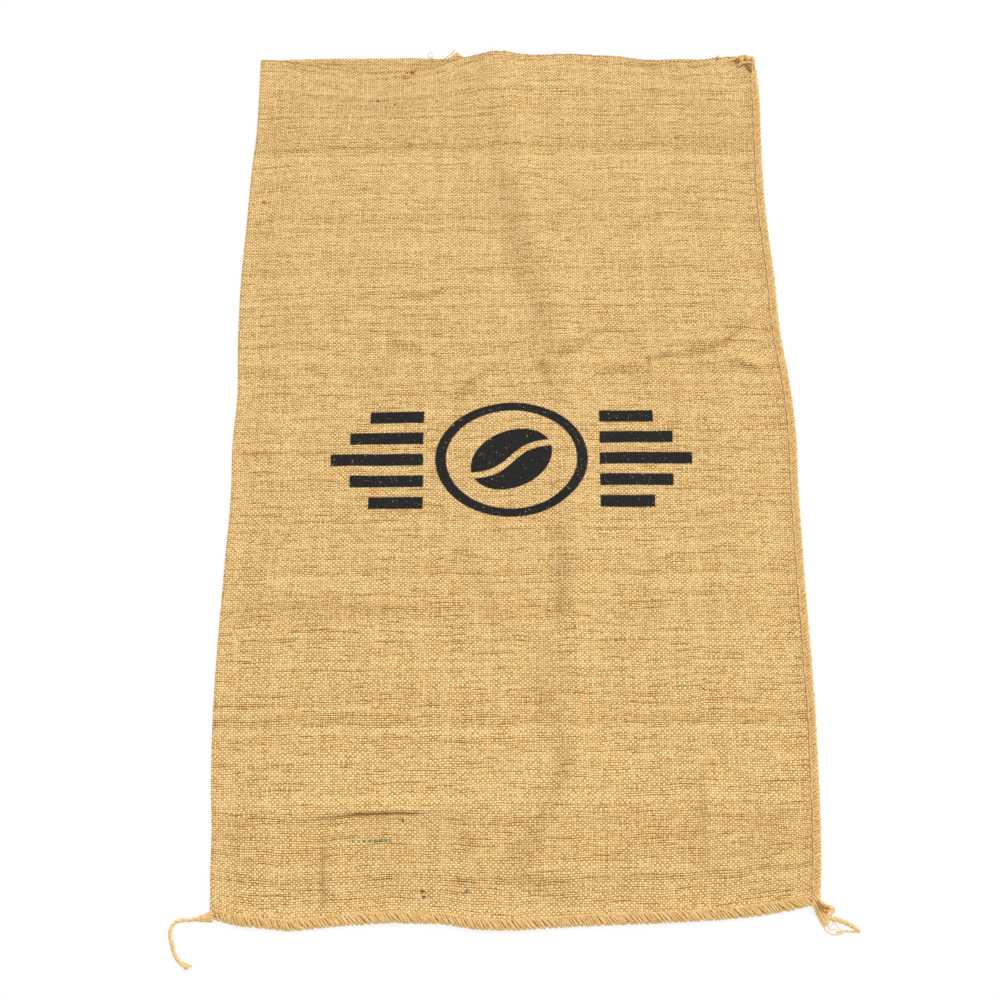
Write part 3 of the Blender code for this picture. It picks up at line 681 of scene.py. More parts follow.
def route_points(route: tuple, step: float) -> np.ndarray:
    """Read evenly spaced points of a smooth curve through a route.

    Args:
        route: rows of (x, s, z).
        step: about how far apart the points are.

    Returns:
        The points, in rows of (x, s, z).
    """
    route = np.array(route, float)
    marks = np.concatenate([[0.0], np.cumsum(np.linalg.norm(np.diff(route, axis=0), axis=1))])
    at = np.linspace(0.0, marks[-1], max(2, round(marks[-1] / step)) + 1)
    return np.column_stack([through(np.column_stack([marks, route[:, k]]), at) for k in range(3)])


def world(places: np.ndarray) -> np.ndarray:
    """Turn rows of (x, s, z) on the sack into world coordinates."""
    return np.asarray(places) - np.array((0.0, SACK_LENGTH / 2, 0.0))


def deselect_all() -> None:
    """Leave nothing selected, so that the next operator acts on its own piece alone."""
    bpy.ops.object.select_all(action="DESELECT")


def select_only(piece: Object) -> None:
    """Make one piece the only selected and the active one."""
    deselect_all()
    piece.select_set(True)
    bpy.context.view_layer.objects.active = piece


def shaped_grid(name: str, places: np.ndarray, uvs: np.ndarray) -> Object:
    """Add a grid primitive and shape it to places given for each of its points.

    Args:
        name: the piece's name.
        places: world places, as rows by columns by 3.
        uvs: UV coordinates, as rows by columns by 2.

    Returns:
        The new piece, with its place in its mesh.
    """
    rows, columns, _ = places.shape
    deselect_all()
    bpy.ops.mesh.primitive_grid_add(x_subdivisions=columns - 1, y_subdivisions=rows - 1, size=1.0)
    piece = bpy.context.active_object
    piece.name = name
    mesh = piece.data
    mesh.name = name
    mesh.vertices.foreach_set("co", places.reshape(-1, 3).astype(np.float32).ravel())
    corners = np.empty(len(mesh.loops), np.int32)
    mesh.loops.foreach_get("vertex_index", corners)
    mesh.uv_layers[0].uv.foreach_set("vector", uvs.reshape(-1, 2)[corners].astype(np.float32).ravel())
    mesh.update()
    bpy.ops.object.shade_smooth()
    return piece


def join(name: str, pieces: list[Object]) -> Object:
    """Join pieces into one mesh and name it.

    Args:
        name: the joined piece's name.
        pieces: the pieces, the first of which takes in the rest.

    Returns:
        The joined piece.
    """
    deselect_all()
    for piece in pieces:
        piece.select_set(True)
    bpy.context.view_layer.objects.active = pieces[0]
    bpy.ops.object.join()
    pieces[0].name = name
    pieces[0].data.name = name
    return pieces[0]


def keep_above(piece: Object, height: float) -> None:
    """Flatten what would reach below a height over the surface that the sack lies on."""
    for vertex in piece.data.vertices:
        vertex.co.z = max(vertex.co.z, height)


def along_edge(edge: np.ndarray, marks: np.ndarray | float) -> np.ndarray:
    """(x, s) of places along an edge that has rows of (mark, x, s)."""
    return np.stack([np.interp(marks, edge[:, 0], edge[:, k]) for k in (1, 2)], axis=-1)


def close_tube(piece: Object) -> None:
    """Weld a tube's first and last columns, close its ends and point its faces outwards.

    Args:
        piece: the tube, a sheet whose first and last columns lie on each other.
    """
    select_only(piece)
    bpy.ops.object.mode_set(mode="EDIT")
    bpy.ops.mesh.select_all(action="SELECT")
    bpy.ops.mesh.remove_doubles(threshold=1e-6)
    bpy.ops.mesh.select_all(action="DESELECT")
    bpy.ops.mesh.select_non_manifold(extend=False)
    bpy.ops.mesh.edge_face_add()
    bpy.ops.mesh.select_all(action="SELECT")
    bpy.ops.mesh.normals_make_consistent(inside=False)
    bpy.ops.object.mode_set(mode="OBJECT")


# ---------------------------------------------------------------------------------------------
# Materials


def linear(colour: str) -> tuple[float, float, float, float]:
    """Turn an sRGB hex colour into Blender's linear RGBA."""
    shares = [int(colour.lstrip("#")[k : k + 2], 16) / 255 for k in (0, 2, 4)]
    return (*(s / 12.92 if s <= 0.04045 else ((s + 0.055) / 1.055) ** 2.4 for s in shares), 1.0)


@dataclass(frozen=True)
class Yarns:
    """One set of parallel yarns of a plain weave.

    pitch_mm is the distance between two yarns and share how much of it a yarn fills on average.
    uneven is how much that changes along a yarn and own how much between yarns. run_mm is how long a
    thick place is, and wander how far a yarn leaves its line, in pitches. parted is how much of the
    pitch a row of holes beside a yarn takes, where there is one.
    """

    pitch_mm: float
    share: float
    uneven: float
    own: float
    run_mm: float
    wander: float
    parted: float
    seed: float


@dataclass(frozen=True)
class JuteCloth:
    """Plain-woven jute sacking: coarse single yarns, dry and matt, hairy and uneven in thickness.

    Spinning leaves thick slubs and thin places, so the gaps between yarns open into dotted rows.
    opened is how much patches of the weave open and tighten, and closing how much the weft's pitch
    shrinks along the sack. warp_shade is how much darker the warp's crossings are, from where lit_from
    puts the light on them. mottle is how much the crossings differ in tone.
    """

    name: str = "woven_jute_sacking"
    warp: Yarns = Yarns(
        pitch_mm=2.5, share=0.92, uneven=0.7, own=0.22, run_mm=26.0, wander=0.28, parted=0.10, seed=3.1
    )
    weft: Yarns = Yarns(
        pitch_mm=2.42, share=0.93, uneven=0.48, own=0.32, run_mm=60.0, wander=0.32, parted=0.37, seed=7.7
    )
    opened: float = 0.18
    closing: float = 0.9e-4
    warp_shade: float = 0.50
    lit_from: float = -0.35
    mottle: float = 0.44
    relief_mm: float = 0.6
    # crown is a painted highlight on the yarns' tops, flank painted shade on their sides, and gap painted
    # shade in the holes, where the layer below also shows
    crown_highlight: str = "#fee4aa"
    yarn: str = "#e7b76d"
    flank_shade: str = "#b27a36"
    slub: str = "#cf8436"
    gap: str = "#40260a"
    # worn is the colour of wear along folds and of painted shade in creases, dips, at the lips and under the
    # twine
    worn: str = "#8a5420"
    ink: str = "#1d1c1b"
    roughness: float = 0.9


@dataclass(frozen=True)
class JuteTwine:
    """Two-ply jute twine, golden and hairy, with painted shade in the groove between its plies."""

    name: str = "two_ply_jute_twine"
    groove_shade: float = 0.22
    pale: str = "#ffeab8"
    tan: str = "#fbd594"
    brown: str = "#dcaa64"
    fibre_mm: float = 0.25
    roughness: float = 0.85


@dataclass(frozen=True)
class JuteFibre:
    """Single fibres and bits of thread that stand out of the yarns."""

    name: str = "loose_jute_fibre"
    shade: str = "#d9a965"
    colour: str = "#ecc88c"
    roughness: float = 0.8


# How much narrower a yarn is between two crossings than on one, and its least half width in pitches
PINCH = 0.10
THINNEST = 0.12
# Lengths in mm over which a yarn leaves its line, and over which the holes beside it come and go
SWERVE_RUN = 16.0
HOLES_RUN = 38.0
# Noise between which a row of holes opens
HOLES_OPEN = (0.56, 0.68)
# How far in mm the warp and the weft drift over several cm, and the size in mm of opener patches
DRIFT = (5.0, 8.0)
OPEN_PATCH = (46.0, 13.0)
# Height where a yarn doesn't cover, and the height that counts as a gap's bottom
UNCOVERED = -3.0
GAP_DEPTH = -1.2
# Levels between which a yarn goes from the painted shade of its flanks to its own colour, and on to the
# painted highlight of its crown
FLANK_SHADE_TO_YARN = (-0.10, 0.50)
YARN_TO_CROWN_HIGHLIGHT = (0.40, 1.00)
# Noise between which a slub shows, and its share there
SLUB_NOISE = (0.58, 0.78)
SLUB_SHARE = 0.8
# Heights between which the painted shade in a gap gives way to the yarn's colour
GAP_SHADE_TO_YARN = (-0.6, 0.20)
# How strongly each finer step of a noise shows in it
GRAIN = 0.6
# Fibres to the mm across a yarn, and how far they lean and stretch along it
FIBRES_PER_MM = 3.2
FIBRE_LEAN = 1.1
FIBRE_STRETCH = 0.35
# Shares of the yarn, the patches and the fibres in the cloth's tone, and what they come to on average
TONE_SHARES = (0.5, 0.2, 0.6)
TONE_MIDDLE = 0.52
# Size of a slub in mm, and how far the fibres stand out beside the yarns' own height
SLUB_SIZE = (5.0, 2.6)
FIBRE_RELIEF = 0.35
# The ink: how ragged and how soft its edge is in mm, how much of it gets down into the gaps,
# noise between which it is worn, how much is left there, and how much glossier than jute it is
INK_RAGGED = 3.0
INK_SOFT = 0.6
INK_IN_GAPS = 0.55
INK_WEAR = (0.64, 0.76)
INK_LEFT = 0.3
INK_GLOSS = -0.36
# Settings of a step that mixes colours and of one that goes smoothly between two values
COLOURS = {"output": 2, "data_type": "RGBA"}
SMOOTHLY = {"interpolation_type": "SMOOTHSTEP"}


class Pattern:
    """A finish's material as a tree of nodes."""

    def __init__(self, name: str) -> None:
        """Start a material with its Principled shader."""
        self.material = bpy.data.materials.new(name)
        self.material.use_nodes = True
        self.tree = self.material.node_tree
        self.shader = self.tree.nodes["Principled BSDF"]

    def add(self, kind: str, *inputs: object, output: int | str = 0, **settings: object) -> NodeSocket:
        """Add a node, set it, link it and give one of its outputs.

        Args:
            kind: the node's type, without the ShaderNode at its start.
            inputs: a value or a socket for each input in order, None to leave one alone, or a dict by
                name or number.
            output: which output is given back.
            settings: the node's own properties.

        Returns:
            The output socket.
        """
        node = self.tree.nodes.new("ShaderNode" + kind)
        for name, value in settings.items():
            setattr(node, name, value)
        named = inputs[0] if inputs and isinstance(inputs[0], dict) else dict(enumerate(inputs))
        for key, value in named.items():
            if isinstance(value, NodeSocket):
                self.tree.links.new(value, node.inputs[key])
            elif value is not None:
                node.inputs[key].default_value = value
        return node.outputs[output]

    def connect(self, socket: NodeSocket, name: str) -> None:
        """Feed one of the shader's inputs."""
        self.tree.links.new(socket, self.shader.inputs[name])


def yarn_set(
    p: Pattern, yarns: Yarns, across: NodeSocket, along: NodeSocket, tight: NodeSocket
) -> dict[str, NodeSocket]:
    """Number one set of yarns and shape their sections.

    Args:
        p: the pattern being made.
        yarns: the set's sizes.
        across: mm across the yarns.
        along: mm along the yarns.
        tight: how much wider than usual the yarns are there, as a share.

    Returns:
        index, offset from the yarn's middle in pitches, half its width in pitches, and its tone along
        its length.
    """
    counted = p.add("Math", across, yarns.pitch_mm, operation="DIVIDE")
    index = p.add("Math", counted, operation="FLOOR")
    own = p.add(
        "TexWhiteNoise", {"W": p.add("Math", index, yarns.seed, operation="ADD")}, noise_dimensions="1D"
    )
    # Noises along each yarn for its thickness, its way and the holes beside it, apart from its neighbours'
    noises = []
    for apart, run_mm, detail in ((17.31, yarns.run_mm, 3.0), (9.7, SWERVE_RUN, 1.0), (5.3, HOLES_RUN, 1.0)):
        place = p.add(
            "CombineXYZ",
            p.add("Math", index, apart, operation="MULTIPLY"),
            p.add("Math", along, run_mm, operation="DIVIDE"),
            yarns.seed,
        )
        noises.append(p.add("TexNoise", place, None, 1.0, detail, GRAIN))
    uneven, swerve, beside = noises
    parted = p.add("MapRange", beside, *HOLES_OPEN, 0.0, yarns.parted / 2, **SMOOTHLY)
    middle = p.add(
        "Math", p.add("Math", swerve, 0.5, operation="SUBTRACT"), yarns.wander, 0.5, operation="MULTIPLY_ADD"
    )
    middle = p.add("Math", middle, parted, operation="ADD")
    offset = p.add("Math", p.add("Math", counted, operation="FRACT"), middle, operation="SUBTRACT")
    varied = p.add(
        "Math", p.add("Math", uneven, 0.5, operation="SUBTRACT"), yarns.uneven, operation="MULTIPLY"
    )
    varied = p.add(
        "Math", p.add("Math", own, 0.5, operation="SUBTRACT"), yarns.own, varied, operation="MULTIPLY_ADD"
    )
    half = p.add(
        "Math",
        p.add("Math", varied, tight, operation="ADD"),
        yarns.share / 2,
        yarns.share / 2,
        operation="MULTIPLY_ADD",
    )
    half = p.add("Math", p.add("Math", half, parted, operation="SUBTRACT"), THINNEST, operation="MAXIMUM")
    return {"index": index, "offset": offset, "half": half, "tone": varied}


def weave_height(
    p: Pattern, yarns: dict[str, NodeSocket], crossed: dict[str, NodeSocket], turn: object
) -> NodeSocket:
    """Height of one set of yarns as it goes over and under the other, far down where it doesn't cover.

    A yarn spreads where it crosses another and is pinched narrow between two.

    Args:
        p: the pattern being made.
        yarns: the set.
        crossed: the set that it goes over and under.
        turn: 1 where this set is on top, -1 where it is below.

    Returns:
        The height, from -1 to 1 where a yarn is and -3 where none is.
    """
    swing = p.add("Math", p.add("Math", crossed["offset"], math.pi, operation="MULTIPLY"), operation="COSINE")
    half = p.add(
        "Math",
        yarns["half"],
        p.add("Math", swing, PINCH, 1 - PINCH, operation="MULTIPLY_ADD"),
        operation="MULTIPLY",
    )
    reach = p.add("Math", yarns["offset"], half, operation="DIVIDE")
    rise = p.add("Math", 1.0, p.add("Math", reach, reach, operation="MULTIPLY"), operation="SUBTRACT")
    crossing = p.add("Math", p.add("Math", swing, turn, operation="MULTIPLY"), 0.5, operation="MULTIPLY")
    raised = p.add(
        "Math",
        p.add("Math", p.add("Math", rise, 0.0, operation="MAXIMUM"), operation="SQRT"),
        0.5,
        crossing,
        operation="MULTIPLY_ADD",
    )
    return p.add(
        "Math", p.add("Math", rise, 0.0, operation="LESS_THAN"), UNCOVERED, raised, operation="MULTIPLY_ADD"
    )


@dataclass(frozen=True)
class PrintedMark:
    """A plain mark in black ink: an oval ring round one seed between two sets of five bars.

    Its middle and sizes are in mm on the flat cloth.
    """

    middle_x: float = -4.0
    middle_s: float = 489.0
    ring_x: float = 78.0
    ring_s: float = 62.0
    ring_band: float = 11.0
    seed_x: float = 47.0
    seed_s: float = 33.0
    seed_turn: float = 0.42
    seed_slit: float = 7.0
    seed_bend: float = 5.0
    bar_from: float = 97.0
    bar_to: float = 199.0
    bar_height: float = 14.0
    bar_pitch: float = 25.0
    bar_step: float = 21.0
    bar_rows: float = 2.0

    def distance(self, p: Pattern, x: NodeSocket, s: NodeSocket) -> NodeSocket:
        """Signed distance in mm to the mark's edge, below 0 inside it.

        Args:
            p: the pattern being made.
            x: mm across the sack.
            s: mm along the sack.

        Returns:
            The distance.
        """
        dx = p.add("Math", x, self.middle_x, operation="SUBTRACT")
        ds = p.add("Math", s, self.middle_s, operation="SUBTRACT")
        ring = p.add("Math", self.oval(p, dx, ds, self.ring_x, self.ring_s), operation="ABSOLUTE")
        ring = p.add("Math", ring, self.ring_band / 2, operation="SUBTRACT")
        cos, sin = math.cos(self.seed_turn), math.sin(self.seed_turn)
        long = p.add("Math", dx, cos, p.add("Math", ds, sin, operation="MULTIPLY"), operation="MULTIPLY_ADD")
        short = p.add(
            "Math", ds, cos, p.add("Math", dx, -sin, operation="MULTIPLY"), operation="MULTIPLY_ADD"
        )
        bend = p.add(
            "Math",
            p.add("Math", p.add("Math", long, math.pi / self.seed_x, operation="MULTIPLY"), operation="SINE"),
            self.seed_bend,
            operation="MULTIPLY",
        )
        slit = p.add(
            "Math",
            self.seed_slit / 2,
            p.add("Math", p.add("Math", short, bend, operation="SUBTRACT"), operation="ABSOLUTE"),
            operation="SUBTRACT",
        )
        seed = p.add("Math", self.oval(p, long, short, self.seed_x, self.seed_s), slit, operation="MAXIMUM")
        bars = self.bars(p, p.add("Math", dx, operation="ABSOLUTE"), ds)
        return p.add("Math", p.add("Math", ring, seed, operation="MINIMUM"), bars, operation="MINIMUM")

    def oval(self, p: Pattern, x: NodeSocket, y: NodeSocket, half_x: float, half_y: float) -> NodeSocket:
        """Distance to an oval's edge, near enough for a mark.

        Args:
            p: the pattern being made.
            x: mm across from the oval's middle.
            y: mm along from the oval's middle.
            half_x: half its width in mm.
            half_y: half its height in mm.

        Returns:
            The signed distance in mm.
        """
        across = p.add("Math", p.add("Math", x, half_x, operation="DIVIDE"), 2.0, operation="POWER")
        squares = p.add(
            "Math",
            across,
            p.add("Math", p.add("Math", y, half_y, operation="DIVIDE"), 2.0, operation="POWER"),
            operation="ADD",
        )
        return p.add(
            "Math",
            p.add("Math", p.add("Math", squares, operation="SQRT"), 1.0, operation="SUBTRACT"),
            (half_x + half_y) / 2,
            operation="MULTIPLY",
        )

    def bars(self, p: Pattern, x: NodeSocket, s: NodeSocket) -> NodeSocket:
        """Distance to the level bars, the middle one longest.

        Args:
            p: the pattern being made.
            x: mm across from the mark's middle, without its sign.
            s: mm along from the mark's middle.

        Returns:
            The signed distance in mm.
        """
        row = p.add("Math", p.add("Math", s, self.bar_pitch, operation="DIVIDE"), operation="ROUND")
        row = p.add(
            "Math",
            p.add("Math", row, self.bar_rows, operation="MINIMUM"),
            -self.bar_rows,
            operation="MAXIMUM",
        )
        from_row = p.add(
            "Math", p.add("Math", row, -self.bar_pitch, s, operation="MULTIPLY_ADD"), operation="ABSOLUTE"
        )
        beside = p.add("Math", from_row, self.bar_height / 2, operation="SUBTRACT")
        end = p.add(
            "Math",
            p.add("Math", row, operation="ABSOLUTE"),
            -self.bar_step,
            self.bar_to,
            operation="MULTIPLY_ADD",
        )
        past = p.add(
            "Math",
            p.add("Math", x, end, operation="SUBTRACT"),
            p.add("Math", self.bar_from, x, operation="SUBTRACT"),
            operation="MAXIMUM",
        )
        return p.add("Math", beside, past, operation="MAXIMUM")


def jute_cloth(finish: JuteCloth, mark: PrintedMark) -> Material:
    """Woven jute sacking with its printed mark, by the cloth's own UV map in metres.

    Args:
        finish: the weave's sizes and colours.
        mark: the mark in black ink.

    Returns:
        The material.
    """
    p = Pattern(finish.name)
    parts = p.add("SeparateXYZ", p.add("UVMap", uv_map="UVMap")).node
    x = p.add("Math", parts.outputs[0], 1000.0, operation="MULTIPLY")
    s = p.add("Math", parts.outputs[1], 1000.0, operation="MULTIPLY")

    # Yarns leave their lines by a few mm over several cm
    drift = p.add(
        "SeparateColor",
        p.add("TexNoise", p.add("CombineXYZ", x, s), None, 1 / 60, 2.0, GRAIN, output="Color"),
    ).node
    across = p.add(
        "Math",
        p.add("Math", drift.outputs[0], 0.5, operation="SUBTRACT"),
        DRIFT[0],
        x,
        operation="MULTIPLY_ADD",
    )
    along = p.add(
        "Math",
        p.add("Math", drift.outputs[1], 0.5, operation="SUBTRACT"),
        DRIFT[1],
        s,
        operation="MULTIPLY_ADD",
    )
    along = p.add(
        "Math", p.add("Math", s, s, operation="MULTIPLY"), finish.closing, along, operation="MULTIPLY_ADD"
    )
    patch_x = p.add("Math", x, OPEN_PATCH[0], operation="DIVIDE")
    patch_s = p.add("Math", s, OPEN_PATCH[1], operation="DIVIDE")
    zone = p.add("TexNoise", p.add("CombineXYZ", patch_x, patch_s, 12.0), None, 1.0, 2.0, GRAIN)
    tight = p.add("Math", p.add("Math", zone, 0.5, operation="SUBTRACT"), finish.opened, operation="MULTIPLY")
    warp = yarn_set(p, finish.warp, across, along, tight)
    weft = yarn_set(p, finish.weft, along, across, tight)
    parity = p.add(
        "Math",
        p.add(
            "Math", p.add("Math", warp["index"], weft["index"], operation="ADD"), 0.5, operation="MULTIPLY"
        ),
        operation="FRACT",
    )
    turn = p.add("Math", parity, -4.0, 1.0, operation="MULTIPLY_ADD")
    warp_high = weave_height(p, warp, weft, turn)
    weft_high = weave_height(p, weft, warp, p.add("Math", turn, -1.0, operation="MULTIPLY"))
    top = p.add("Math", warp_high, weft_high, operation="MAXIMUM")
    on_warp = p.add("Math", warp_high, weft_high, operation="GREATER_THAN")

    # Fibres run slanted along each yarn, about 0.3 mm apart
    warp_fibre = p.add(
        "CombineXYZ",
        p.add(
            "Math",
            x,
            FIBRES_PER_MM,
            p.add("Math", s, FIBRE_LEAN, operation="MULTIPLY"),
            operation="MULTIPLY_ADD",
        ),
        p.add("Math", s, FIBRE_STRETCH, operation="MULTIPLY"),
    )
    weft_fibre = p.add(
        "CombineXYZ",
        p.add(
            "Math",
            s,
            FIBRES_PER_MM,
            p.add("Math", x, FIBRE_LEAN, operation="MULTIPLY"),
            operation="MULTIPLY_ADD",
        ),
        p.add("Math", x, FIBRE_STRETCH, operation="MULTIPLY"),
        9.0,
    )
    fibre_inputs = {0: on_warp, 4: weft_fibre, 5: warp_fibre}
    fibre_place = p.add("Mix", fibre_inputs, output=1, data_type="VECTOR")
    fibre = p.add("TexNoise", fibre_place, None, 1.0, 1.0, GRAIN)

    # Tone: each crossing and thick place has its own, with patches of a few cm; painted shade on the warp's
    # crossings leaves the weft's crowns palest
    crossing = p.add("TexWhiteNoise", {"Vector": p.add("CombineXYZ", warp["index"], weft["index"])})
    tone = p.add("Mix", {0: on_warp, 2: weft["tone"], 3: warp["tone"]}, output=0)
    patch = p.add("TexNoise", p.add("CombineXYZ", x, s, 5.0), None, 1 / 24, 3.0, GRAIN)
    of_yarn, of_patch, of_fibre = TONE_SHARES
    mixed = p.add(
        "Math", tone, of_yarn, p.add("Math", patch, of_patch, operation="MULTIPLY"), operation="MULTIPLY_ADD"
    )
    mixed = p.add("Math", fibre, of_fibre, mixed, operation="MULTIPLY_ADD")
    mixed = p.add("Math", crossing, finish.mottle, mixed, operation="MULTIPLY_ADD")
    level = p.add("Math", p.add("Math", mixed, TONE_MIDDLE, operation="SUBTRACT"), top, operation="ADD")
    over = p.add("Math", p.add("Math", weft["offset"], math.pi, operation="MULTIPLY"), operation="COSINE")
    shaded = p.add(
        "Math", on_warp, p.add("MapRange", over, finish.lit_from, 0.0, **SMOOTHLY), operation="MULTIPLY"
    )
    level = p.add("Math", shaded, -finish.warp_shade, level, operation="MULTIPLY_ADD")
    # Painted shade on the yarns' flanks and painted highlight on their crowns, by the weave's height
    yarn = p.add(
        "Mix",
        {
            0: p.add("MapRange", level, *FLANK_SHADE_TO_YARN, **SMOOTHLY),
            6: linear(finish.flank_shade),
            7: linear(finish.yarn),
        },
        **COLOURS,
    )
    yarn = p.add(
        "Mix",
        {0: p.add("MapRange", level, *YARN_TO_CROWN_HIGHLIGHT, **SMOOTHLY), 6: yarn, 7: linear(finish.crown_highlight)},
        **COLOURS,
    )
    speck = p.add(
        "TexNoise",
        p.add(
            "CombineXYZ",
            p.add("Math", x, SLUB_SIZE[0], operation="DIVIDE"),
            p.add("Math", s, SLUB_SIZE[1], operation="DIVIDE"),
            2.0,
        ),
        None,
        1.0,
        2.0,
        GRAIN,
    )
    yarn = p.add(
        "Mix",
        {
            0: p.add("MapRange", speck, *SLUB_NOISE, 0.0, SLUB_SHARE, **SMOOTHLY),
            6: yarn,
            7: linear(finish.slub),
        },
        **COLOURS,
    )

    # Black ink lies on the crowns of the yarns and thins out in the gaps
    rough_edge = p.add(
        "Math",
        p.add("Math", fibre, 0.5, operation="SUBTRACT"),
        INK_RAGGED,
        mark.distance(p, x, s),
        operation="MULTIPLY_ADD",
    )
    inked = p.add("MapRange", rough_edge, -INK_SOFT, INK_SOFT, 1.0, 0.0, **SMOOTHLY)
    reached = p.add("MapRange", top, GAP_DEPTH, -0.4, INK_IN_GAPS, 1.0, **SMOOTHLY)
    worn = p.add(
        "MapRange",
        p.add("TexNoise", p.add("CombineXYZ", x, s, 8.0), None, 1 / 3.0, 3.0, GRAIN),
        *INK_WEAR,
        1.0,
        INK_LEFT,
        **SMOOTHLY,
    )
    ink = p.add("Math", p.add("Math", inked, reached, operation="MULTIPLY"), worn, operation="MULTIPLY")

    # Painted shade darkens the yarns where they dip and fills the gaps, where what lies below also shows; the
    # worn attribute adds wear and painted shade
    open_cloth = p.add(
        "Mix",
        {0: p.add("MapRange", top, *GAP_SHADE_TO_YARN, **SMOOTHLY), 6: linear(finish.gap), 7: yarn},
        **COLOURS,
    )
    # The worn attribute holds wear along folds and painted shade in creases, dips, at the lips and under the
    # twine
    wear_and_shade_share = p.add("Attribute", attribute_name="worn", output="Fac")
    open_cloth = p.add("Mix", {0: wear_and_shade_share, 6: open_cloth, 7: linear(finish.worn)}, **COLOURS)
    p.connect(p.add("Mix", {0: ink, 6: open_cloth, 7: linear(finish.ink)}, **COLOURS), "Base Color")
    p.connect(p.add("Math", ink, INK_GLOSS, finish.roughness, operation="MULTIPLY_ADD"), "Roughness")
    p.shader.inputs["Specular IOR Level"].default_value = 0.2
    raised = p.add(
        "Math",
        fibre,
        FIBRE_RELIEF,
        p.add("Math", top, GAP_DEPTH, operation="MAXIMUM"),
        operation="MULTIPLY_ADD",
    )
    bump = p.add("Bump", {"Strength": 0.9, "Distance": finish.relief_mm * MM, "Height": raised})
    p.connect(bump, "Normal")
    return p.material


def jute_twine(finish: JuteTwine) -> Material:
    """Jute twine, by its own UV map: mm along it, and its share of a turn round it.

    Args:
        finish: the twine's sizes and colours.

    Returns:
        The material.
    """
    p = Pattern(finish.name)
    parts = p.add("SeparateXYZ", p.add("UVMap", uv_map="UVMap")).node
    along, around = parts.outputs[0], parts.outputs[1]
    angle = p.add("Math", around, 2 * math.pi, operation="MULTIPLY")
    spread = 2.2 / finish.fibre_mm / (2 * math.pi)
    ring = [
        p.add("Math", p.add("Math", angle, operation=turn), spread, operation="MULTIPLY")
        for turn in ("COSINE", "SINE")
    ]
    fibre = p.add(
        "TexNoise",
        p.add("CombineXYZ", *ring, p.add("Math", along, 0.4, operation="MULTIPLY")),
        None,
        1.0,
        2.0,
        GRAIN,
    )
    patch = p.add(
        "TexNoise",
        p.add("CombineXYZ", *ring, p.add("Math", along, 0.1, operation="MULTIPLY")),
        None,
        0.25,
        2.0,
        GRAIN,
    )
    mixed = p.add(
        "Math",
        p.add("Math", fibre, 0.7, operation="MULTIPLY"),
        p.add("Math", patch, 0.6, operation="MULTIPLY"),
        operation="ADD",
    )
    colour = p.add(
        "Mix",
        {0: p.add("MapRange", mixed, 0.42, 0.66, **SMOOTHLY), 6: linear(finish.brown), 7: linear(finish.tan)},
        **COLOURS,
    )
    colour = p.add(
        "Mix",
        {0: p.add("MapRange", mixed, 0.62, 0.9, **SMOOTHLY), 6: colour, 7: linear(finish.pale)},
        **COLOURS,
    )
    # Painted shade in the groove between the plies
    ply = p.add("Math", p.add("Math", angle, 2.0, operation="MULTIPLY"), operation="COSINE")
    colour = p.add(
        "Mix",
        {
            0: p.add("MapRange", ply, -1.0, -0.2, finish.groove_shade, 0.0, **SMOOTHLY),
            6: colour,
            7: linear(finish.brown),
        },
        **COLOURS,
    )
    p.connect(colour, "Base Color")
    p.shader.inputs["Roughness"].default_value = finish.roughness
    p.shader.inputs["Specular IOR Level"].default_value = 0.25
    bump = p.add("Bump", {"Strength": 0.8, "Distance": 0.15 * MM, "Height": fibre})
    p.connect(bump, "Normal")
    return p.material


def jute_fibre(finish: JuteFibre) -> Material:
    """Loose fibres, by Object coordinates, their tone changing over a few mm.

    Args:
        finish: the fibre's colours.

    Returns:
        The material.
    """
    p = Pattern(finish.name)
    place = p.add("TexCoord", output="Object")
    tone = p.add("TexNoise", place, None, 180.0, 1.0, GRAIN)
    p.connect(
        p.add("Mix", {0: tone, 6: linear(finish.shade), 7: linear(finish.colour)}, **COLOURS), "Base Color"
    )
    p.shader.inputs["Roughness"].default_value = finish.roughness
    return p.material


# ---------------------------------------------------------------------------------------------
# The cloth


class Layer(Enum):
    """The sack's two layers, with the share of the front lip's setback that each takes."""

    BACK = 0
    FRONT = 1


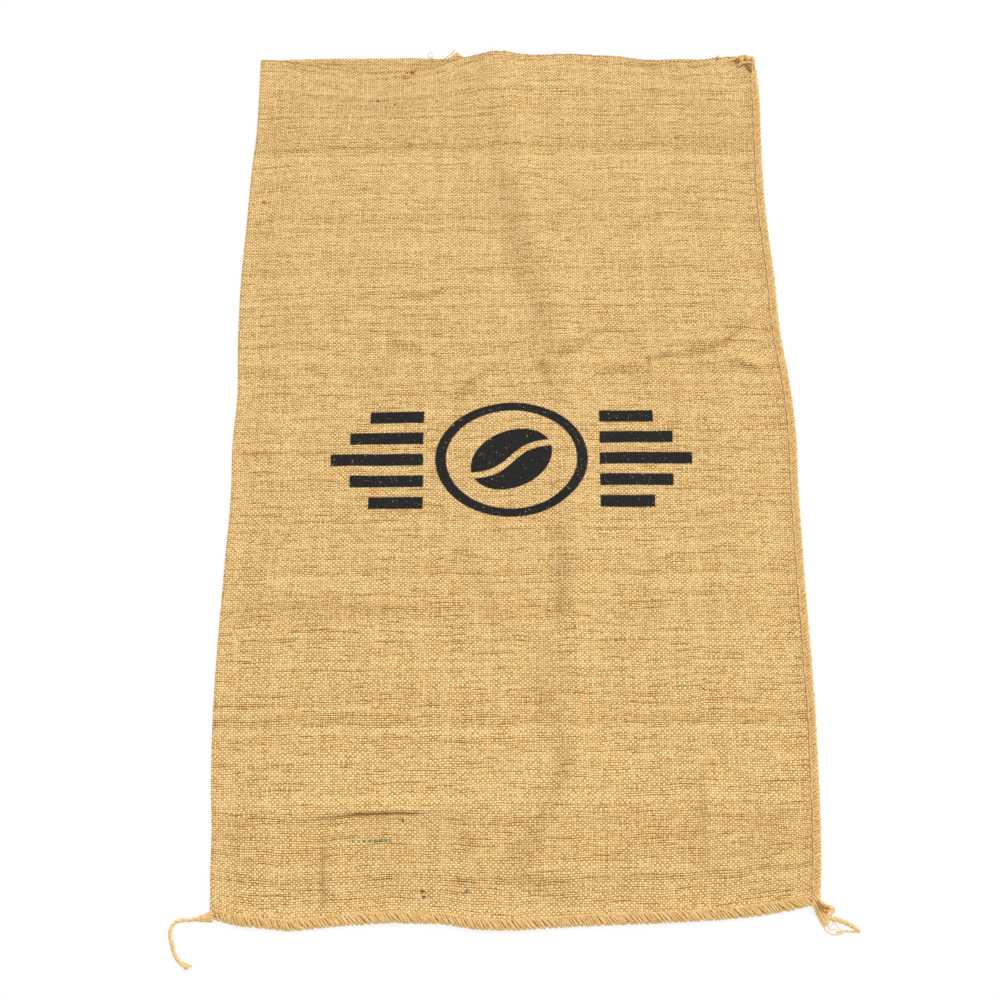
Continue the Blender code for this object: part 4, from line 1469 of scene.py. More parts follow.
class SackForm:
    """The sack's outline and the heights of its layers, read from the tables above."""

    def left_edge(self, s: np.ndarray) -> np.ndarray:
        """x of the fold's outer side."""
        return -HALF_WIDTH + through(LEFT_INSET, s)

    def right_edge(self, s: np.ndarray) -> np.ndarray:
        """x of the cloth's sewn side, inside its twine."""
        return RIGHT_EDGE - through(RIGHT_INSET, s)

    def bottom_edge(self, x: np.ndarray) -> np.ndarray:
        """s of the cloth's sewn bottom, inside its twine."""
        places, insets = np.array(BOTTOM_INSET).T
        return SEAM_REACH + np.interp(x, places, insets)

    def fold_radius(self, s_flat: np.ndarray) -> np.ndarray:
        """Middle radius of the left fold, which is tighter in the bottom hem."""
        interior = (FRONT_HEM_Z - BACK_Z) / 2
        hem = (FRONT_HEM_Z - BACK_HEM_Z) / 2
        return interior + (hem - interior) * self.hem_lift(s_flat)

    def hem_lift(self, distance: np.ndarray) -> np.ndarray:
        """1 in a hem, easing to 0 over the run where a layer comes down from it."""
        return 1 - smooth((distance - HEM_WIDTH - HEM_STEP) / LIFT_RUN)

    def place(self, x_flat: np.ndarray, s_flat: np.ndarray, layer: Layer) -> tuple[np.ndarray, np.ndarray]:
        """Find where a place of the full rectangle lies on a layer.

        Args:
            x_flat: x on the full rectangle.
            s_flat: s on the full rectangle.
            layer: the layer.

        Returns:
            x and s on the sack.
        """
        lip = through(BACK_LIP, x_flat) - layer.value * through(FRONT_LIP_BACK, x_flat)
        at_bottom = self.bottom_edge(x_flat) * (1 - smooth(s_flat / CORNER_EASE))
        at_mouth = (lip - MOUTH) * smooth((s_flat - MOUTH + MOUTH_EASE) / MOUTH_EASE)
        ragged = sum(
            high * np.sin(2 * math.pi * waves * x_flat / SACK_WIDTH + phase + layer.value)
            for high, waves, phase in LIP_RAGGED
        )
        at_lip = ragged * MM * smooth((s_flat - MOUTH + LIP_RAGGED_RUN) / LIP_RAGGED_RUN)
        s = s_flat + at_bottom + at_mouth + at_lip
        inner_fold = self.left_edge(s) + CLOTH_THICK / 2 + self.fold_radius(s_flat)
        share = (x_flat + HALF_WIDTH) / SACK_WIDTH
        return inner_fold + (self.right_edge(s) - inner_fold) * share, s

    def relief(self, x: np.ndarray, s: np.ndarray) -> np.ndarray:
        """Height of the front layer's folds, creases and unevenness over its even level.

        Args:
            x: places across the sack.
            s: places along the sack.

        Returns:
            The height at each place.
        """
        raised = np.zeros_like(x)
        sunk = np.zeros_like(x)
        for row in FOLDS:
            height = fold_height(x, s, row)
            raised = np.maximum(raised, height)
            sunk = np.minimum(sunk, height)
        slow = sum(
            height * np.sin(2 * math.pi * (across * x / SACK_WIDTH + along * s / SACK_LENGTH) + phase)
            for height, across, along, phase in UNEVENNESS
        )
        sharp = np.max([crease_height(x, s, row) for row in CREASES], axis=0)
        return raised + sunk + slow + sharp

    def back_height(self, x_flat: np.ndarray, s_flat: np.ndarray) -> np.ndarray:
        """Middle height of the back layer, flat on the surface but for its hems."""
        lift = self.hem_lift(np.minimum(s_flat, HALF_WIDTH - x_flat))
        return BACK_Z + (BACK_HEM_Z - BACK_Z) * lift

    def height(self, x_flat: np.ndarray, s_flat: np.ndarray, layer: Layer) -> np.ndarray:
        """Middle height of a layer."""
        of_layer = self.front_height if layer is Layer.FRONT else self.back_height
        return of_layer(x_flat, s_flat)

    def front_height(self, x_flat: np.ndarray, s_flat: np.ndarray) -> np.ndarray:
        """Middle height of the front layer, over the pocket and its folds.

        Args:
            x_flat: places across the flat cloth.
            s_flat: places along the flat cloth.

        Returns:
            The height at each place.
        """
        from_bottom = s_flat - HEM_WIDTH - HEM_STEP
        from_side = HALF_WIDTH - x_flat - HEM_WIDTH - HEM_STEP
        from_fold = x_flat + HALF_WIDTH
        puff = smooth(from_bottom / PUFF_RUN) * smooth(from_side / PUFF_RUN)
        puff = puff * smooth(from_fold / FOLD_PUFF_RUN)
        shown = smooth(from_bottom / RELIEF_RUN) * smooth(from_side / RELIEF_RUN)
        shown = shown * smooth(from_fold / RELIEF_RUN)
        x, s = self.place(x_flat, s_flat, Layer.FRONT)
        return FRONT_HEM_Z + (FRONT_Z - FRONT_HEM_Z) * puff + self.relief(x, s) * shown


def fold_height(x: np.ndarray, s: np.ndarray, row: tuple) -> np.ndarray:
    """Height that one fold gives at places.

    Args:
        x: the places' x.
        s: the places' s.
        row: a row of FOLDS or CREASES.

    Returns:
        The heights, 0 far from the fold.
    """
    from_x, from_s, from_high, to_x, to_s, to_high, half_width = row
    run_x, run_s = to_x - from_x, to_s - from_s
    along = np.clip(((x - from_x) * run_x + (s - from_s) * run_s) / (run_x**2 + run_s**2), 0.0, 1.0)
    distance = np.hypot(x - from_x - along * run_x, s - from_s - along * run_s)
    return (from_high + (to_high - from_high) * along) * np.exp(-((distance / half_width) ** 2))


def crease_height(x: np.ndarray, s: np.ndarray, row: tuple) -> np.ndarray:
    """Height that one crease gives at places, steep on the right of its run.

    Args:
        x: the places' x.
        s: the places' s.
        row: a row of CREASES.

    Returns:
        The heights, 0 far from the crease.
    """
    from_x, from_s, _, to_x, to_s, _, steep, gentle = row
    left_of = (to_x - from_x) * (s - from_s) - (to_s - from_s) * (x - from_x) > 0
    return np.where(left_of, fold_height(x, s, (*row[:6], gentle)), fold_height(x, s, (*row[:6], steep)))


def darkening_share(lines: tuple, places: np.ndarray) -> np.ndarray:
    """How dark a table's lines make the cloth at places, from 0 to 1.

    Args:
        lines: rows of half the width of a line in metres and its points, each x, s and strength.
        places: where it is asked for.

    Returns:
        The share at each place.
    """
    x, s = places[..., 0], places[..., 1]
    share = np.zeros_like(x)
    for half_width, line in lines:
        for start, end in zip(line[:-1], line[1:]):
            row = (start[0] * MM, start[1] * MM, start[2], end[0] * MM, end[1] * MM, end[2], half_width)
            share = np.maximum(share, fold_height(x, s, row))
    return share


def lines_of(spans: tuple) -> np.ndarray:
    """The grid lines of a table of spans, each place once."""
    places = [spans[0][0]]
    for start, end, cells in spans:
        places += [start + (end - start) * (k + 1) / cells for k in range(cells)]
    return np.array(places)


@dataclass
class SackCloth:
    """The one cloth of the sack, from the sewn edge of its back round the fold to that of its front."""

    form: SackForm
    finish: Material
    interior_thick: float = 1.0 * MM
    hem_thick: float = HEM_THICK

    def build(self) -> Object:
        """Shape the cloth's middle as a grid and give it its thickness.

        Returns:
            The finished cloth.
        """
        s_flat = lines_of(ALONG_SPANS)
        hem = np.array((HALF_WIDTH - HEM_WIDTH - HEM_STEP, HALF_WIDTH - HEM_WIDTH))
        back = np.sort(np.concatenate([np.linspace(HALF_WIDTH, -HALF_WIDTH, BACK_CELLS + 1), hem]))[::-1]
        front = np.sort(np.concatenate([np.linspace(-HALF_WIDTH, HALF_WIDTH, FRONT_CELLS + 1), hem]))
        turn = np.radians(np.linspace(-90, 90, FOLD_CELLS + 1)[1:-1])
        under, over = self.layer(back, s_flat, Layer.BACK), self.layer(front, s_flat, Layer.FRONT)
        places = np.concatenate([under, self.turn(turn, s_flat), over], axis=1)
        uvs = self.woven_places(back, turn, front, s_flat)
        cloth = shaped_grid("sack_cloth_woven", world(places), uvs)
        x_flat = np.concatenate([back, np.full(len(turn), -HALF_WIDTH), front])
        self.mark_wear_and_shade(cloth, places, x_flat[None, :], s_flat[:, None])
        self.thicken(cloth, s_flat, back, turn, front)
        cloth.data.materials.append(self.finish)
        return cloth

    def mark_wear_and_shade(self, cloth: Object, places: np.ndarray, x_flat: np.ndarray, s_flat: np.ndarray) -> None:
        """Note at each point of the sheet how dark it is made: by wear and painted shade along folds, painted
        shade in dips, slubs and painted shade at the lips, and painted shade under the twine.

        Args:
            cloth: the sheet.
            places: its points' places in the sack's frame.
            x_flat: their places across the flat cloth.
            s_flat: their places along the flat cloth.
        """
        on_front = places[..., 2] > FRONT_HEM_Z - HEM_THICK / 2
        past_front = places[..., 1] > MOUTH - LIP_SLUB_AND_SHADE_REACH
        # Wear and painted shade along folds, then broad painted shade in dips
        wear_and_shade_share = darkening_share(WORN_AND_SHADED_LINES, places)
        share = np.where(on_front, wear_and_shade_share + (1 - wear_and_shade_share) * darkening_share(PAINTED_SHADES, places), 0.0)
        # Slubs, and painted shade along the front lip's edge, on the back layer's lip
        share = np.maximum(share, np.where(~on_front & past_front, darkening_share(LIP_SLUBS_AND_SHADE, places), 0.0))
        to_lip = places[-1:, :, 1] - places[..., 1]
        # Painted shade along the front lip's raw edge
        share = np.maximum(share, np.where(on_front, LIP_EDGE_SHADE * (1 - smooth(to_lip / LIP_EDGE_SHADE_RUN)), 0.0))
        # Painted shade on the cloth under the twine of the sewn edges
        inside = np.minimum(s_flat, HALF_WIDTH - x_flat)
        share = np.maximum(share, UNDER_TWINE_SHADE * (1 - smooth((inside - TWINE_BAND) / TWINE_SHADE_RUN)))
        worn = cloth.data.attributes.new("worn", "FLOAT", "POINT")
        worn.data.foreach_set("value", share.astype(np.float32).ravel())

    def layer(self, x_lines: np.ndarray, s_lines: np.ndarray, layer: Layer) -> np.ndarray:
        """Places of one layer's middle, as rows by columns by 3."""
        x_flat, s_flat = np.meshgrid(x_lines, s_lines)
        x, s = self.form.place(x_flat, s_flat, layer)
        return np.stack([x, s, self.form.height(x_flat, s_flat, layer)], axis=-1)

    def turn(self, angles: np.ndarray, s_lines: np.ndarray) -> np.ndarray:
        """Places of the left fold's middle, as rows by columns by 3.

        Args:
            angles: angles round the fold, one a column.
            s_lines: places along the flat cloth, one a row.

        Returns:
            The places.
        """
        angle, s_flat = np.meshgrid(angles, s_lines)
        x, s = self.form.place(np.full_like(s_flat, -HALF_WIDTH), s_flat, Layer.BACK)
        radius = self.form.fold_radius(s_flat)
        middle = self.form.back_height(np.full_like(s_flat, -HALF_WIDTH), s_flat) + radius
        return np.stack([x - radius * np.cos(angle), s, middle + radius * np.sin(angle)], axis=-1)

    def woven_places(
        self, back: np.ndarray, turn: np.ndarray, front: np.ndarray, s_lines: np.ndarray
    ) -> np.ndarray:
        """Places on the cloth as it was woven, in metres, which the weave follows round the fold.

        Args:
            back: x of the columns on the back layer.
            turn: angles of the columns round the fold.
            front: x of the columns on the front layer.
            s_lines: places along the flat cloth, one a row.

        Returns:
            The places, as rows by columns by 2.
        """
        radius = float(np.mean(self.form.fold_radius(s_lines)))
        arc = (turn - math.pi / 2) * radius
        under = -(back + HALF_WIDTH) - math.pi * radius
        across = np.concatenate([under, arc, front + HALF_WIDTH]) - HALF_WIDTH
        return np.stack(np.meshgrid(across, s_lines), axis=-1)

    def thicken(
        self, cloth: Object, s_lines: np.ndarray, back: np.ndarray, turn: np.ndarray, front: np.ndarray
    ) -> None:
        """Make the sheet solid, thicker where it is turned in.

        Args:
            cloth: the sheet.
            s_lines: its rows.
            back: the back layer's columns.
            turn: the fold's columns.
            front: the front layer's columns.
        """
        from_side = np.concatenate([HALF_WIDTH - back, np.full(len(turn), HALF_WIDTH), HALF_WIDTH - front])
        near = np.minimum(s_lines[:, None], from_side[None, :])
        doubled = (near < HEM_WIDTH + HEM_STEP / 2).ravel()
        group = cloth.vertex_groups.new(name="hem")
        group.add([int(k) for k in np.flatnonzero(doubled)], 1.0, "REPLACE")
        select_only(cloth)
        solid = cloth.modifiers.new("thickness", "SOLIDIFY")
        solid.thickness = self.hem_thick
        solid.offset = 0.0
        solid.use_even_offset = True
        solid.vertex_group = "hem"
        solid.thickness_vertex_group = self.interior_thick / self.hem_thick
        bpy.ops.object.modifier_apply(modifier="thickness")
        cloth.vertex_groups.clear()


# ---------------------------------------------------------------------------------------------
# Twine


def tube(name: str, middle: np.ndarray, radii: np.ndarray, sides: int, lay: float, plies: float) -> Object:
    """Sweep a two-ply section along a line.

    Args:
        name: the piece's name.
        middle: the line's points in world coordinates.
        radii: half the twine's width at each point.
        sides: points round the section.
        lay: length of one turn of the plies.
        plies: how much narrower the section is between the plies, 0 for a round one.

    Returns:
        The closed tube, with a UV map of mm along it and turns round it.
    """
    run = np.gradient(middle, axis=0)
    run /= np.linalg.norm(run, axis=1)[:, None]
    steps = np.concatenate([[0.0], np.cumsum(np.linalg.norm(np.diff(middle, axis=0), axis=1))])
    across = np.cross(run[0], (0.0, 0.0, 1.0) if abs(run[0][2]) < 0.9 else (0.0, 1.0, 0.0))
    sideways = np.empty_like(middle)
    for k, direction in enumerate(run):
        across = across - direction * across.dot(direction)
        across /= np.linalg.norm(across)
        sideways[k] = across
    up = np.cross(run, sideways)
    share = np.linspace(0.0, 1.0, sides + 1)
    angle = 2 * math.pi * share
    section = 1 - plies * (0.5 - 0.5 * np.cos(2 * angle))
    turned = angle[None, :] + (2 * math.pi * steps / lay)[:, None]
    reach = radii[:, None] * section[None, :]
    places = middle[:, None, :] + reach[..., None] * (
        np.cos(turned)[..., None] * sideways[:, None, :] + np.sin(turned)[..., None] * up[:, None, :]
    )
    uvs = np.stack(np.broadcast_arrays(steps[:, None] / MM, share[None, :]), axis=-1)
    piece = shaped_grid(name, places, uvs)
    close_tube(piece)
    return piece


@dataclass
class Overcast:
    """A seam of twine that runs along its inner line, slants out over the hem, wraps it and comes back."""

    name: str
    start: float
    end: float
    stitch: float
    slant: float
    far_slant: float
    finish: Material
    sag: float = 0.0
    sag_run: float = 80.0 * MM
    band: float = 6.4 * MM
    rings: int = 20
    sides: int = 8
    # Each strand's phase, its run along the inner line in stitches, and its radius
    strands: tuple = (
        (0.00, 0.74, 1.12 * MM),
        (0.93, 0.10, 0.98 * MM),
        (0.36, 0.05, 0.94 * MM),
    )
    edge_radius: float = 1.30 * MM

    def build(self, edge: np.ndarray, seed: int) -> Object:
        """Make the seam's strands along an edge.

        Args:
            edge: rows of (mark, x, s) along the cloth's edge.
            seed: for the unevenness of its stitches.

        Returns:
            The seam.
        """
        uneven = np.random.default_rng(seed)
        strands = [self.strand(edge, *strand, uneven) for strand in self.strands]
        strands.append(self.line(edge, -0.35 * MM, HEM_TOP * 0.80, self.edge_radius, uneven))
        strands.append(self.line(edge, self.band - 0.4 * MM, HEM_TOP + 0.7 * MM, INNER_LINE_RADIUS, uneven))
        seam = join(self.name, strands)
        seam.data.materials.append(self.finish)
        return seam

    def line(
        self, edge: np.ndarray, inward: float, height: float, radius: float, uneven: np.random.Generator
    ) -> Object:
        """A strand that runs along the seam in a low wave a stitch, and that the others catch.

        Args:
            edge: rows of (mark, x, s) along the cloth's edge.
            inward: how far in from the edge it runs.
            height: how high its middle lies.
            radius: half its width.
            uneven: where the unevenness comes from.

        Returns:
            The strand.
        """
        count = int((self.end - self.start) / self.stitch)
        marks = np.arange(0.0, count + 0.01, 0.25)
        wave = np.cos(2 * math.pi * (marks + 0.3))
        waving = inward + 0.40 * MM * wave + uneven.uniform(-0.15, 0.15, len(marks)) * MM
        places = self.on_edge(edge, self.start + marks * self.stitch, waving)
        rows = np.column_stack([places, height + 0.35 * MM * wave])
        middle = world(route_points(rows, self.stitch / 6))
        return tube(self.name, middle, np.full(len(middle), radius), self.sides, lay=9.0 * MM, plies=0.10)

    def strand(
        self, edge: np.ndarray, phase: float, inner_run: float, radius: float, uneven: np.random.Generator
    ) -> Object:
        """One strand of the seam.

        Args:
            edge: rows of (mark, x, s) along the cloth's edge.
            phase: how far its stitches are ahead, in stitches.
            inner_run: how much of a stitch it spends on the inner line.
            radius: half its width.
            uneven: where the unevenness comes from.

        Returns:
            The strand.
        """
        count = int((self.end - self.start) / self.stitch - phase)
        top = HEM_TOP + 0.25 * radius
        under = 0.55 * MM
        points = []
        for stitch in range(count):
            shift = uneven.uniform(-0.14, 0.14)
            reach = uneven.uniform(-0.5, 0.5) * MM
            swell = uneven.uniform(-0.25, 0.45) * MM
            from_start = (stitch + phase) * self.stitch
            sag = self.sag * math.exp(-((from_start / self.sag_run) ** 2))
            lean = (self.slant + (self.far_slant - self.slant) * stitch / count) / self.stitch
            # (share of a stitch along the edge, mm in from the edge, height)
            turn = (
                (0.0, self.band, top),
                (inner_run * 0.5, self.band + 0.2 * MM, top + 0.15 * MM),
                (inner_run, self.band - 0.5 * MM, top + 0.25 * MM),
                (inner_run + 0.45 * lean, self.band * 0.52, top + 0.35 * MM),
                (inner_run + 0.95 * lean, self.band * 0.04, top - 0.3 * MM),
                (inner_run + 1.05 * lean, -1.2 * MM, HEM_TOP * 0.62),
                (inner_run + 1.05 * lean, -0.9 * MM, under + 0.4 * MM),
                (inner_run + 0.80 * lean + 0.15, self.band * 0.35, under),
                (0.97, self.band * 0.92, under),
                (0.99, self.band, HEM_TOP * 0.5),
            )
            for k, (along, inward, height) in enumerate(turn):
                outer = 1 - inward / self.band
                inner = inward - reach * (outer < 0.3) - sag * (k == 1)
                points.append((stitch + phase + along + shift * outer, inner, height + swell * (k == 3)))
        marks, inward, height = np.array(points).T
        marks = self.start + marks * self.stitch
        rows = np.column_stack([self.on_edge(edge, marks, inward), height])
        middle = route_points(rows, self.stitch * WRAP / self.rings)
        middle = world(middle)
        knots = np.arange(0, len(middle) + 7, 7)
        swelling = np.interp(np.arange(len(middle)), knots, uneven.uniform(0.84, 1.14, len(knots)))
        radii = radius * swelling
        piece = tube(self.name, middle, radii, self.sides, lay=14.0 * MM, plies=0.08)
        keep_above(piece, 0.02 * MM)
        return piece

    def on_edge(self, edge: np.ndarray, marks: np.ndarray, inward: np.ndarray) -> np.ndarray:
        """(x, s) of places along an edge and in from it."""
        run = along_edge(edge, marks + self.stitch) - along_edge(edge, marks - self.stitch)
        run /= np.linalg.norm(run, axis=1)[:, None]
        sideways = np.column_stack([-run[:, 1], run[:, 0]])
        return along_edge(edge, marks) + sideways * inward[:, None]


@dataclass
class LooseEnd:
    """A loose end of two-ply twine that lies on the surface, with a frayed tip."""

    name: str
    route: tuple
    finish: Material
    width: float = 4.2 * MM
    taper: float = 8.0 * MM
    lay: float = 11.0 * MM
    sides: int = 12
    step: float = 0.8 * MM

    def build(self) -> Object:
        """Twist two plies along the route.

        Returns:
            The loose end.
        """
        middle = world(route_points(self.route, self.step))
        to_tip = np.linspace(self.length(), 0.0, len(middle))
        radii = self.width / 2 * (0.45 + 0.55 * smooth(to_tip / self.taper))
        end = tube(self.name, middle, radii, self.sides, self.lay, plies=0.22)
        keep_above(end, 0.05 * MM)
        end.data.materials.append(self.finish)
        return end

    def length(self) -> float:
        """The loose end's real length along its route."""
        return float(np.linalg.norm(np.diff(route_points(self.route, self.step), axis=0), axis=1).sum())


@dataclass
class Bundle:
    """Loose strands of twine that lie side by side, from a table of their radii and points in mm."""

    name: str
    strands: tuple
    finish: Material
    lay: float = 9.0 * MM
    sides: int = 10

    def build(self) -> Object:
        """Sweep each strand and join them.

        Returns:
            The bundle.
        """
        pieces = []
        for radius, points in self.strands:
            middle = world(route_points(np.array(points) * MM, 0.7 * MM))
            share = np.linspace(0.0, 1.0, len(middle))
            radii = radius * MM * (1.0 - 0.35 * np.abs(2 * share - 1) ** 8)
            pieces.append(tube(self.name, middle, radii, self.sides, self.lay, plies=0.18))
        bundle = join(self.name, pieces)
        keep_above(bundle, 0.04 * MM)
        bundle.data.materials.append(self.finish)
        return bundle


# ---------------------------------------------------------------------------------------------
# Loose fibres


@dataclass
class Fibres:
    """Short curved fibres as one joined mesh of thin three-sided tubes."""

    name: str
    finish: Material
    thick: float = 0.16 * MM

    def build(self, lines: list[np.ndarray]) -> Object:
        """Make each line a fibre.

        Args:
            lines: world points of each fibre.

        Returns:
            The joined fibres.
        """
        curve = bpy.data.curves.new(self.name, "CURVE")
        curve.dimensions = "3D"
        curve.bevel_depth = self.thick / 2
        curve.bevel_resolution = 0
        curve.use_fill_caps = True
        for line in lines:
            spline = curve.splines.new("POLY")
            spline.points.add(len(line) - 1)
            for k, (point, place) in enumerate(zip(spline.points, line)):
                point.co = (*place, 1.0)
                point.radius = 1.0 - 0.6 * k / (len(line) - 1)
        fibres = bpy.data.objects.new(self.name, curve)
        bpy.context.scene.collection.objects.link(fibres)
        select_only(fibres)
        bpy.ops.object.convert(target="MESH")
        fibres = bpy.context.active_object
        fibres.data.materials.append(self.finish)
        return fibres


def curl(
    start: np.ndarray, heading: float, length: float, bend: float, rise: float, points: int = 6
) -> np.ndarray:
    """Points of one bent fibre.

    Args:
        start: where it leaves the cloth.
        heading: its direction on the floor plan, in radians.
        length: its length.
        bend: how far it turns over its length, in radians.
        rise: how high its middle stands.
        points: how many points it has.

    Returns:
        The points.
    """
    share = np.linspace(0.0, 1.0, points)
    headings = heading + bend * share
    step = length / (points - 1)
    x = start[0] + np.concatenate([[0.0], np.cumsum(np.cos(headings[:-1]) * step)])
    y = start[1] + np.concatenate([[0.0], np.cumsum(np.sin(headings[:-1]) * step)])
    return np.column_stack([x, y, start[2] + rise * np.sin(math.pi * share)])


def bits_on(form: SackForm, rows: tuple, name: str, finish: Material) -> Object:
    """Lay short bits of thread on the front layer.

    Args:
        form: the sack's form.
        rows: a table of bits.
        name: the piece's name.
        finish: the bits' material.

    Returns:
        The joined bits.
    """
    pieces = []
    for x, s, run_x, run_s, thick in rows:
        share = np.linspace(-0.5, 0.5, 6)
        bend = 0.12 * math.hypot(run_x, run_s) * np.cos(math.pi * share)
        at_x, at_s = (x + run_x * share - bend * (run_s != 0)) * MM, (s + run_s * share) * MM
        z = form.front_height(at_x, at_s) + 0.55 * MM
        middle = world(np.column_stack([at_x, at_s, z]))
        radii = thick / 2 * MM * (1.0 - 0.5 * np.abs(2 * share) ** 3)
        pieces.append(tube(name, middle, radii, sides=6, lay=20.0 * MM, plies=0.0))
    bits = join(name, pieces)
    bits.data.materials.append(finish)
    return bits


@dataclass
class Fuzz:
    """Fibres that stand out of the cloth's face and of its mouth."""

    form: SackForm
    finish: Material
    face_count: int = 900
    mouth_count: int = 420
    seam_count: int = 1300

    def build(self, side_edge: np.ndarray, bottom_edge: np.ndarray) -> list[Object]:
        """Scatter the fibres.

        Args:
            side_edge: rows of (mark, x, s) along the cloth's sewn side.
            bottom_edge: rows of (mark, x, s) along its sewn bottom.

        Returns:
            The fibres on the face, those at the mouth and those on the seams.
        """
        scatter = np.random.default_rng(11)
        face = [self.on_face(scatter) for _ in range(self.face_count)]
        mouth = [self.at_mouth(scatter) for _ in range(self.mouth_count)]
        bottom, side = (bottom_edge, (0.0, 1.0)), (side_edge, (-1.0, 0.0))
        sewn = [self.on_seam(scatter, *(side if k % 3 else bottom)) for k in range(self.seam_count)]
        return [
            Fibres("face_fibres", self.finish).build(face),
            Fibres("mouth_fibres", self.finish, 0.22 * MM).build(mouth),
            Fibres("seam_fibres", self.finish, 0.26 * MM).build(sewn),
        ]

    def on_layer(self, x_flat: float, s_flat: float, layer: Layer) -> np.ndarray:
        """Find the middle of a layer in the scene.

        Args:
            x_flat: place across the flat cloth.
            s_flat: place along the flat cloth.
            layer: which of the sack's two layers.

        Returns:
            The place.
        """
        at = np.array(x_flat), np.array(s_flat)
        x, s = self.form.place(*at, layer)
        return world(np.array((float(x), float(s), float(self.form.height(*at, layer)))))

    def on_face(self, scatter: np.random.Generator) -> np.ndarray:
        """Lay one fibre somewhere on the front layer.

        Args:
            scatter: where the random draws come from.

        Returns:
            The fibre's places.
        """
        x_flat, s_flat = scatter.uniform(-0.300, 0.290), scatter.uniform(0.02, 1.012)
        start = self.on_layer(x_flat, s_flat, Layer.FRONT) + np.array((0.0, 0.0, 0.7 * MM))
        length = scatter.uniform(3, 11) * MM
        return curl(start, scatter.uniform(0, 2 * math.pi), length, scatter.normal(0, 1.0), 0.8 * MM)

    def at_mouth(self, scatter: np.random.Generator) -> np.ndarray:
        """Stand one fibre out of a layer's lip.

        Args:
            scatter: where the random draws come from.

        Returns:
            The fibre's places.
        """
        layer = Layer.FRONT if scatter.random() < 0.55 else Layer.BACK
        start = self.on_layer(scatter.uniform(-0.305, 0.285), MOUTH, layer) - np.array((0.0, 0.5 * MM, 0.0))
        length = scatter.uniform(1.5, 6) * MM
        return curl(start, scatter.normal(math.pi / 2, 0.8), length, scatter.normal(0, 1.4), 0.8 * MM)

    def on_seam(self, scatter: np.random.Generator, edge: np.ndarray, inwards: tuple) -> np.ndarray:
        """Lay one fibre on or beside a seam.

        Args:
            scatter: where the random draws come from.
            edge: rows of mark, x and s along the sewn edge.
            inwards: the direction in x and s from the edge into the sack.

        Returns:
            The fibre's places.
        """
        mark = scatter.uniform(edge[2, 0], edge[-3, 0])
        inward = scatter.uniform(-1.0, 10.5)
        place = along_edge(edge, mark) + np.array(inwards) * inward * MM
        height = HEM_TOP + (1.5 if inward > 1.0 else 0.4) * MM
        start = world(np.array((*place, height)))
        length = scatter.uniform(2, 6) * MM
        return curl(start, scatter.uniform(0, 2 * math.pi), length, scatter.normal(0, 1.6), 0.5 * MM)


# ---------------------------------------------------------------------------------------------
# Camera, lights and floor


@dataclass(frozen=True)
class Studio:
    """A pale floor, soft light from the upper right and the camera at the photograph's angle.

    key_share and fill_share are the parts of the light on level ground that the key and the white
    surround give. The floor is a light table: it glows a little, which keeps the shadows on it faint.
    """

    camera_place: tuple[float, float, float] = (-0.0201, -0.6046, 1.3982)
    camera_turn_deg: tuple[float, float, float] = (20.995, 0.0, -0.483)
    lens_mm: float = 50.0
    key_height_deg: float = 48.0
    key_from_deg: float = 42.0
    key_soft_deg: float = 34.0
    key_share: float = 0.38
    fill_share: float = 0.67
    floor_size: float = 8.0
    floor_glow: float = 0.76

    def build(self) -> None:
        """Add the camera, the floor and the lights."""
        camera = bpy.data.cameras.new("camera")
        camera.lens = self.lens_mm
        camera.sensor_width = 36.0
        camera.clip_start = 0.05
        eye = bpy.data.objects.new("camera", camera)
        eye.location = self.camera_place
        eye.rotation_euler = [math.radians(a) for a in self.camera_turn_deg]
        bpy.context.scene.collection.objects.link(eye)
        bpy.context.scene.camera = eye
        self.add_floor()
        self.add_lights()

    def add_floor(self) -> None:
        """Lay the floor just under the sack."""
        deselect_all()
        bpy.ops.mesh.primitive_plane_add(size=self.floor_size, location=(0.0, 0.0, -0.2 * MM))
        floor = bpy.context.active_object
        floor.name = "floor"
        matt = bpy.data.materials.new("pale_floor")
        matt.use_nodes = True
        shader = matt.node_tree.nodes["Principled BSDF"]
        shader.inputs["Base Color"].default_value = linear("#8c8c8c")
        shader.inputs["Emission Color"].default_value = linear("#ffffff")
        shader.inputs["Emission Strength"].default_value = self.floor_glow
        shader.inputs["Roughness"].default_value = 0.9
        shader.inputs["Specular IOR Level"].default_value = 0.1
        floor.data.materials.append(matt)

    def add_lights(self) -> None:
        """Add the key light and an even white surround."""
        light = bpy.data.lights.new("key", "SUN")
        light.angle = math.radians(self.key_soft_deg)
        height = math.radians(self.key_height_deg)
        light.energy = self.key_share * math.pi / math.sin(height)
        key = bpy.data.objects.new("key", light)
        key.rotation_euler = (math.pi / 2 - height, 0.0, math.radians(self.key_from_deg + 90))
        bpy.context.scene.collection.objects.link(key)
        surround = bpy.data.worlds.new("surround")
        surround.use_nodes = True
        background = surround.node_tree.nodes["Background"]
        background.inputs["Color"].default_value = (1.0, 1.0, 1.0, 1.0)
        background.inputs["Strength"].default_value = self.fill_share
        bpy.context.scene.world = surround
        bpy.context.scene.view_settings.view_transform = "Standard"


